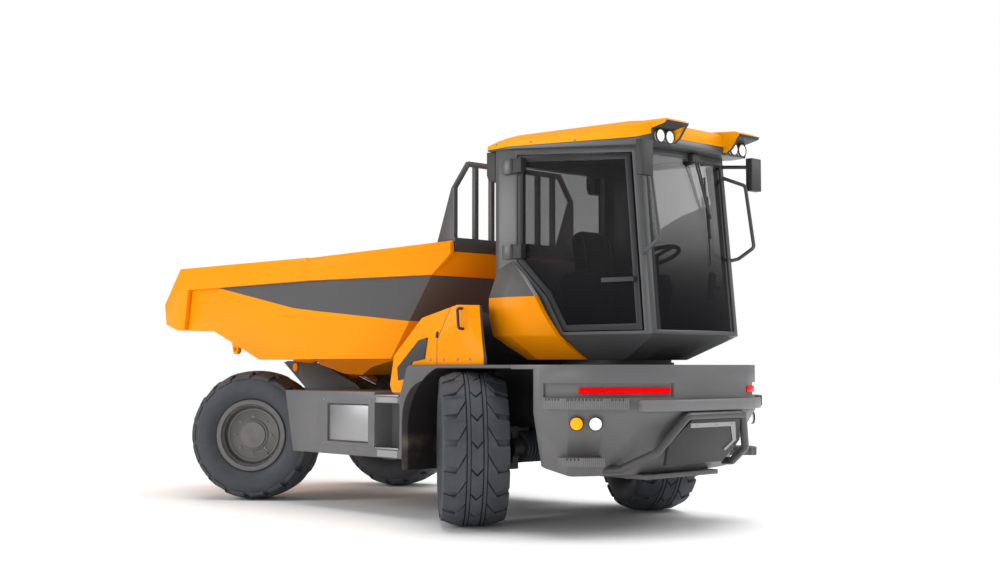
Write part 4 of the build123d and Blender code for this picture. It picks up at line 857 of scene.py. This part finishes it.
rounded("tail_lamps", lens_finish("red_lens", (0.72, 0.001, 0.003), 0.52), 0.004)
rounded("bumper_lamps", lens_finish("pair_lens", CLEAR_WHITE, 0.6, AMBER, turn_signal), 0.004)
pairs = []
for x, y in PAIR_AT:
    for side in (-1, 1):
        out = Vector((PAIR_OUT[0], side * PAIR_OUT[1], 0))
        pairs.append((Vector((x, side * y, PAIR_Z)) + LENS_STANDS * out, out))
bezels("bumper_lamp_bezels", pairs, "chassis")

# The skip: thick welded plate, bright outside, with a dark wedge painted below the rim
# and dark paint over the top of the sloping rear wall. The rim is welded from two lengths.
STRIPE_GREY = (0.096, 0.097, 0.100)
WELD_BROWN = (0.45, 0.13, 0.004)
WEDGE = [
    # along the machine, height of the wedge's lower edge
    (-2.114, 1.955), (-0.892, 1.724), (0.429, 1.582),
]
RIM_SEAM_X = -0.565
RIM_SEAM_Z = 2.100
RIM_SEAM_SLANT = 0.95
RIM_SEAM_SHADE = 0.55


def outer_wall(place):
    """1 on the skip's outside."""
    sides = (place.facing(1) * place.axis(1)).step(0.10, 0.20)
    return sides.math("MAXIMUM", place.facing(0).step(0.30, 0.40))


def wedge(place):
    """1 on the outside above the painted wedge's lower edge."""
    (start_x, start_z), (fold_x, fold_z), (end_x, end_z) = WEDGE
    edge = place.axis(0).slide(start_x, fold_x, start_z, fold_z)
    edge = edge + place.axis(0).slide(fold_x, end_x, 0.0, end_z - fold_z)
    return (place.axis(2) - edge).step(-0.001, 0.001) * outer_wall(place)


def rim_seam(place):
    """Above 0 along the ground weld between the rim's two lengths."""
    off = place.axis(0) - RIM_SEAM_X + RIM_SEAM_SLANT * (RIM_SEAM_Z - place.axis(2))
    return (1 - off.math("ABSOLUTE").step(0.0015, 0.004)) * RIM_SEAM_SHADE


orange_paint = gloss_paint("orange_paint", ORANGE, 1.6)
rounded("skip_tub", gloss_paint("skip_paint", ORANGE, 1.2, STRIPE_GREY, wedge), 0.006)
rounded("skip_rim", gloss_paint("rim_paint", ORANGE, 1.2, WELD_BROWN, rim_seam), 0.010)
rounded("skip_underframe", orange_paint, 0.006)
rounded("skip_guard", satin_paint("guard_paint", (0.070, 0.068, 0.068), 0.4), 0.005)

# The cab: a dark tub on its ring, bulged corner panels, pressed pillars and bent grab rails.
# The corner panels are bright below and have dark caps that end in a bright pressed edge.
CAP_GREY = (0.110, 0.106, 0.104)
CAP_EDGE = (0.42, 0.42, 0.43)


def cap_edge(place):
    """1 on the caps' front edges."""
    return place.facing(0).step(0.45, 0.55)


cab_paint = satin_paint("cab_paint", (0.074, 0.075, 0.078), 0.4, 0.28)
dress("slew_ring_cab", frame_paint)
rounded("cab_tub", cab_paint, 0.008)
rounded("cab_corner_panels", orange_paint, 0.008)
rounded("cab_corner_caps", gloss_paint("cap_paint", CAP_GREY, 0.8, CAP_EDGE, cap_edge), 0.006)
rounded("cab_frame", cab_paint, 0.006)
rounded("cab_fittings", cab_paint, 0.003)

# The roof: a bright moulded cover bolted to the pillars, in a yellower orange that is a painted
# highlight, with a dark liner and two lamp brows; what faces down on the cover carries painted shade.
# Each brow holds two round work lamps, and two boxes hang at the rear.
# The roof's orange is a lighter, yellower copy of the machine's orange: a painted highlight for the lit
# roof.
LIT_ROOF_ORANGE = (0.93, 0.370, 0.002)
ROOF_BOLT_X = (1.42, 1.80, 2.20)
ROOF_FRONT_X = 2.740
ROOF_FRONT_Z = 2.845
ROOF_SLOPE = 0.0695
WORK_FACE_X = 2.889
WORK_LAMP_Y = (0.380, 0.484)
WORK_LAMP_Z = 2.851


def underside_shade(place):
    """1 on what faces down, which takes painted shade."""
    return 1 - place.facing(2).step(-0.35, -0.25)


# The roof paint carries a painted highlight in its colour and painted shade on its downward faces.
roof_paint = gloss_paint("roof_paint", LIT_ROOF_ORANGE, 0.8, DARK_GREY, underside_shade)
roof = rounded("cab_roof", roof_paint, 0.006)
rounded("roof_liner", cab_paint, 0.006)
rounded("rear_lamp_boxes", plastic, 0.006)
rounded("work_lamps", lens_finish("white_lens", CLEAR_WHITE, 0.6), 0.003)
roof_places = [(x, ROOF_FRONT_Z + (ROOF_FRONT_X - x) * ROOF_SLOPE) for x in ROOF_BOLT_X]
bolts("roof_bolts", roof, "cab", from_sides(roof_places), 0.008)
work_faces = [((WORK_FACE_X, side * y, WORK_LAMP_Z), (1, 0, 0)) for side in (-1, 1) for y in WORK_LAMP_Y]
bezels("work_lamp_bezels", work_faces, "cab")

# Mirrors: black moulded heads on bent arms beside the screen,
# each with a pane of silvered glass let into its back.
MIRROR_Y = 0.645
MIRROR_HALF = 0.050
MIRROR_LOW = 2.566
MIRROR_HIGH = 2.792
MIRROR_BACK = 2.849
rounded("mirrors", plastic, 0.008)
silvered, shader, place = new_finish("silvered_glass")
smear = place.noise(12.0, 4.0)
set_finish(shader, {
    "Base Color": smear.mix((0.80, 0.81, 0.83, 1), (0.88, 0.89, 0.90, 1)),
    "Metallic": 1.0,
    "Roughness": 0.02 + 0.05 * smear,
})
faces = []
for middle in (MIRROR_Y, -MIRROR_Y):
    low = (middle - MIRROR_HALF, MIRROR_LOW)
    high = (middle + MIRROR_HALF, MIRROR_HIGH)
    face = plate("face", soft_corners(low, high, 0.020), 0.002)
    for vertex in face.data.vertices:
        across, up, out = vertex.co
        vertex.co = (MIRROR_BACK - out, -across, up)
    faces.append(face)
finished(joined("mirror_glass", faces), silvered, "cab")

# Glass: flat panes and a curved windscreen, tinted dark grey, with a black fired border
# round the screen. The door is a single pane bonded over its slim frame, on two hinges.
border, shader, place = new_finish("fired_border")
film = place.noise(2.0, 3.0)
set_finish(shader, {
    "Base Color": film.mix((0.020, 0.020, 0.022, 1), (0.030, 0.030, 0.033, 1)),
    "Roughness": 0.34 + 0.05 * film,
    "Specular IOR Level": 0.25,
})
rounded("door_frame", border, 0.003)
rounded("door_hardware", plastic, 0.004)
# FOOT_COVER is how much the panes hide at their foot: a painted shade that darkens their lower part.
FOOT_COVER = 0.93
SCREEN_HALF = 0.405


def tinted(name, top_cover, shade_band):
    """Tinted glass: a dark film with a little haze, more opaque towards the pane's foot as painted
    shade, with a clear coat that grows towards its top as painted reflection.
    """
    material, shader, place = new_finish(name)
    haze = place.noise(2.0, 3.0)
    set_finish(shader, {
        "Base Color": haze.mix((0.004, 0.004, 0.005, 1), (0.008, 0.008, 0.010, 1)),
        "Roughness": 0.015 + 0.02 * haze,
        # Opacity rises towards the foot and the coat fades there: painted shade low on the pane and
        # painted reflection high on it.
        "Alpha": place.axis(2).slide(*shade_band, FOOT_COVER, top_cover) + 0.04 * haze,
        "Specular IOR Level": 0.10,
        "Coat Weight": place.axis(2).slide(*shade_band, 0.0, 1.0),
        "Coat Roughness": 0.01,
    })
    return material


tint = tinted("tinted_glass", 0.36, (1.50, 2.15))
screen_tint = tinted("screen_glass", 0.36, (1.50, 2.30))
tree = screen_tint.node_tree
clear = tree.nodes["Principled BSDF"]
black = tree.nodes.new("ShaderNodeBsdfPrincipled")
set_finish(black, {"Base Color": (0.012, 0.012, 0.013, 1), "Roughness": 0.08, "Coat Weight": 0.6})
place = Tone(tree, tree.nodes["Texture Coordinate"].outputs["Object"])
edge = place.axis(1).math("ABSOLUTE").step(SCREEN_HALF, SCREEN_HALF + 0.012)
both = tree.nodes.new("ShaderNodeMixShader")
tree.links.new(edge.socket, both.inputs[0])
tree.links.new(clear.outputs[0], both.inputs[1])
tree.links.new(black.outputs[0], both.inputs[2])
tree.links.new(both.outputs[0], tree.nodes["Material Output"].inputs["Surface"])
dress("windscreen", screen_tint)
for pane in ("cab_windows", "door_glass"):
    dress(pane, tint)

# The wiper: a motor under the roof's edge, two parallel arms and one long upright blade
# that lies on the screen, all in black steel and rubber.
SCREEN_FOOT_X = 2.808
SCREEN_FOOT_Z = 1.440
SCREEN_SLOPE = 0.117 / 1.340
SCREEN_BULGE = 0.045
SCREEN_EDGE_Y = 0.505
MOTOR_LOW = (0.005, 2.722)
MOTOR_HIGH = (0.092, 2.790)
MOTOR_BACK = 2.742
MOTOR_FACE = 2.788
BLADE_Y = 0.192


def screen_at(y, z, out):
    """A point above the windscreen's outer face."""
    bulge = SCREEN_BULGE * (1 - (y / SCREEN_EDGE_Y) ** 2)
    return Vector((SCREEN_FOOT_X - SCREEN_SLOPE * (z - SCREEN_FOOT_Z) + bulge + out, y, z))


def strut(name, start, end, radius, sides=12):
    """A straight round bar with chamfered ends."""
    run = Vector(end) - Vector(start)
    tip = 0.4 * radius
    levels = [(0.0, 0.7 * radius), (tip, radius), (run.length - tip, radius), (run.length, 0.7 * radius)]
    piece = turned(name, levels, sides)
    turn = Vector((0, 1, 0)).rotation_difference(run).to_matrix().to_4x4()
    piece.data.transform(Matrix.Translation(start) @ turn)
    return piece


motor = plate("motor", soft_corners(MOTOR_LOW, MOTOR_HIGH, 0.012), 0.050, 0.006)
for vertex in motor.data.vertices:
    across, up, out = vertex.co
    vertex.co = (MOTOR_BACK + out, across, up)
wiper_parts = [
    motor,
    strut("arm", (MOTOR_FACE, 0.036, 2.745), screen_at(BLADE_Y - 0.010, 2.34, 0.034), 0.008),
    strut("arm", (MOTOR_FACE, 0.068, 2.740), screen_at(BLADE_Y + 0.012, 2.31, 0.034), 0.006),
    strut("holder", screen_at(BLADE_Y, 2.48, 0.022), screen_at(BLADE_Y, 2.16, 0.022), 0.009),
    strut("blade", screen_at(BLADE_Y, 2.63, 0.010), screen_at(BLADE_Y, 1.96, 0.010), 0.008),
    strut("link", screen_at(BLADE_Y, 2.325, 0.018), screen_at(BLADE_Y, 2.325, 0.042), 0.011),
]
finished(joined("wiper", wiper_parts), plastic, "cab")

# The seat: a sprung base under a stuffed cushion and back in woven cloth, sewn in channels,
# with a stuffed pad on each console for the arms.
cloth, shader, place = new_finish("seat_cloth")
weave = place.node("TexWave", {}, {"Vector": place, "Scale": 160.0})
set_finish(shader, {
    "Base Color": weave.mix((0.012, 0.012, 0.014, 1), (0.035, 0.035, 0.038, 1)),
    "Roughness": 0.85 + 0.1 * weave,
    "Normal": bumps(weave, 0.3, 0.001),
    "Sheen Weight": 0.3,
})
PRESSURE = 4
STUFFING_FRAMES = 20
SEAM_WIDTH = 0.010
SEAM_DEPTH = 0.009
CUSHION_LOW = (1.812, -0.228)
CUSHION_HIGH = (2.272, 0.228)
CUSHION_Z = 1.676
BACK_LOW = (-0.212, 0.060)
BACK_HIGH = (0.212, 0.548)
BACK_FOOT_X = 1.800
BACK_FOOT_Z = 1.735
BACK_RISE = 0.988
BACK_LEAN = 0.1545
ARM_PAD = [(1.815, 1.880), (2.100, 1.917), (2.094, 1.952), (1.810, 1.915)]
ARM_PAD_Y = 0.300


def stuffed(piece, voxel, most, seams):
    """Blows a closed form up as cloth, holds it near its shape, and sinks its sewn seams."""
    select_only(piece)
    piece.data.remesh_voxel_size = voxel
    bpy.ops.object.voxel_remesh()
    start = [vertex.co.copy() for vertex in piece.data.vertices]
    pad = piece.modifiers.new("stuffing", "CLOTH")
    pad.settings.use_pressure = True
    pad.settings.uniform_pressure_force = PRESSURE
    pad.settings.effector_weights.gravity = 0
    for number in range(1, STUFFING_FRAMES + 1):
        scene.frame_set(number)
    bpy.ops.object.modifier_apply(modifier="stuffing")
    scene.frame_set(1)
    for vertex, was in zip(piece.data.vertices, start):
        move = vertex.co - was
        if move.length > most:
            vertex.co = was + move * (most / move.length)
    normals = [vertex.normal.copy() for vertex in piece.data.vertices]
    for vertex, normal in zip(piece.data.vertices, normals):
        for seam in seams:
            off = (abs(vertex.co.y) - seam) / SEAM_WIDTH
            vertex.co -= normal * SEAM_DEPTH * math.exp(-off * off)
    soft = piece.modifiers.new("soft", "SUBSURF")
    soft.levels = 1
    soft.render_levels = 1
    bpy.ops.object.modifier_apply(modifier="soft")
    finished(piece, cloth, "cab", 80)
    return piece


cushion = plate("seat_cushion", soft_corners(CUSHION_LOW, CUSHION_HIGH, 0.060), 0.095, 0.030, 3)
shifted(cushion, 0, 0, CUSHION_Z)
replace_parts(stuffed(cushion, 0.009, 0.014, (0.135,)), "seat")
back = plate("seat_back", soft_corners(BACK_LOW, BACK_HIGH, 0.110, 8), 0.080, 0.028, 3)
for vertex in back.data.vertices:
    across, up, out = vertex.co
    x = BACK_FOOT_X - BACK_LEAN * up + BACK_RISE * out
    z = BACK_FOOT_Z + BACK_RISE * up + BACK_LEAN * out
    vertex.co = (x, across, z)
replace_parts(stuffed(back, 0.009, 0.012, (0.125,)), "seat")
for wall, name in ((-ARM_PAD_Y, "near"), (ARM_PAD_Y, "far")):
    arm = on_side(plate("arm_pad_" + name, ARM_PAD, 0.070, 0.010, 3), wall)
    stuffed(arm, 0.007, 0.006, ())
dress("seat_base", plastic)

# The controls: a steering wheel on its column and a console each side, moulded in black,
# and a small screen on a stem by the far post, turned towards the seat.
rounded("steering_wheel", plastic, 0.002)
rounded("consoles", plastic, 0.012)
SCREEN_AT = Vector((2.650, 0.425, 1.820))
STEM_FOOT = (2.640, 0.585, 1.800)
PANE_OUT = 0.0318
facing = Vector((-0.87, -0.47, 0.12)).normalized()
up = (Vector((0, 0, 1)) - facing.z * facing).normalized()
turn = Matrix((up.cross(facing), up, facing)).transposed().to_4x4()
case = plate("case", soft_corners((-0.078, -0.105), (0.078, 0.105), 0.014), 0.032, 0.006, 2)
case.data.transform(Matrix.Translation(SCREEN_AT) @ turn)
stem = strut("stem", SCREEN_AT - 0.01 * facing, STEM_FOOT, 0.014)
finished(joined("screen_case", [case, stem]), plastic, "cab")
pane = plate("screen_pane", soft_corners((-0.066, -0.088), (0.066, 0.088), 0.006), 0.002)
pane.data.transform(Matrix.Translation(SCREEN_AT + PANE_OUT * facing) @ turn)
finished(pane, border, "cab")
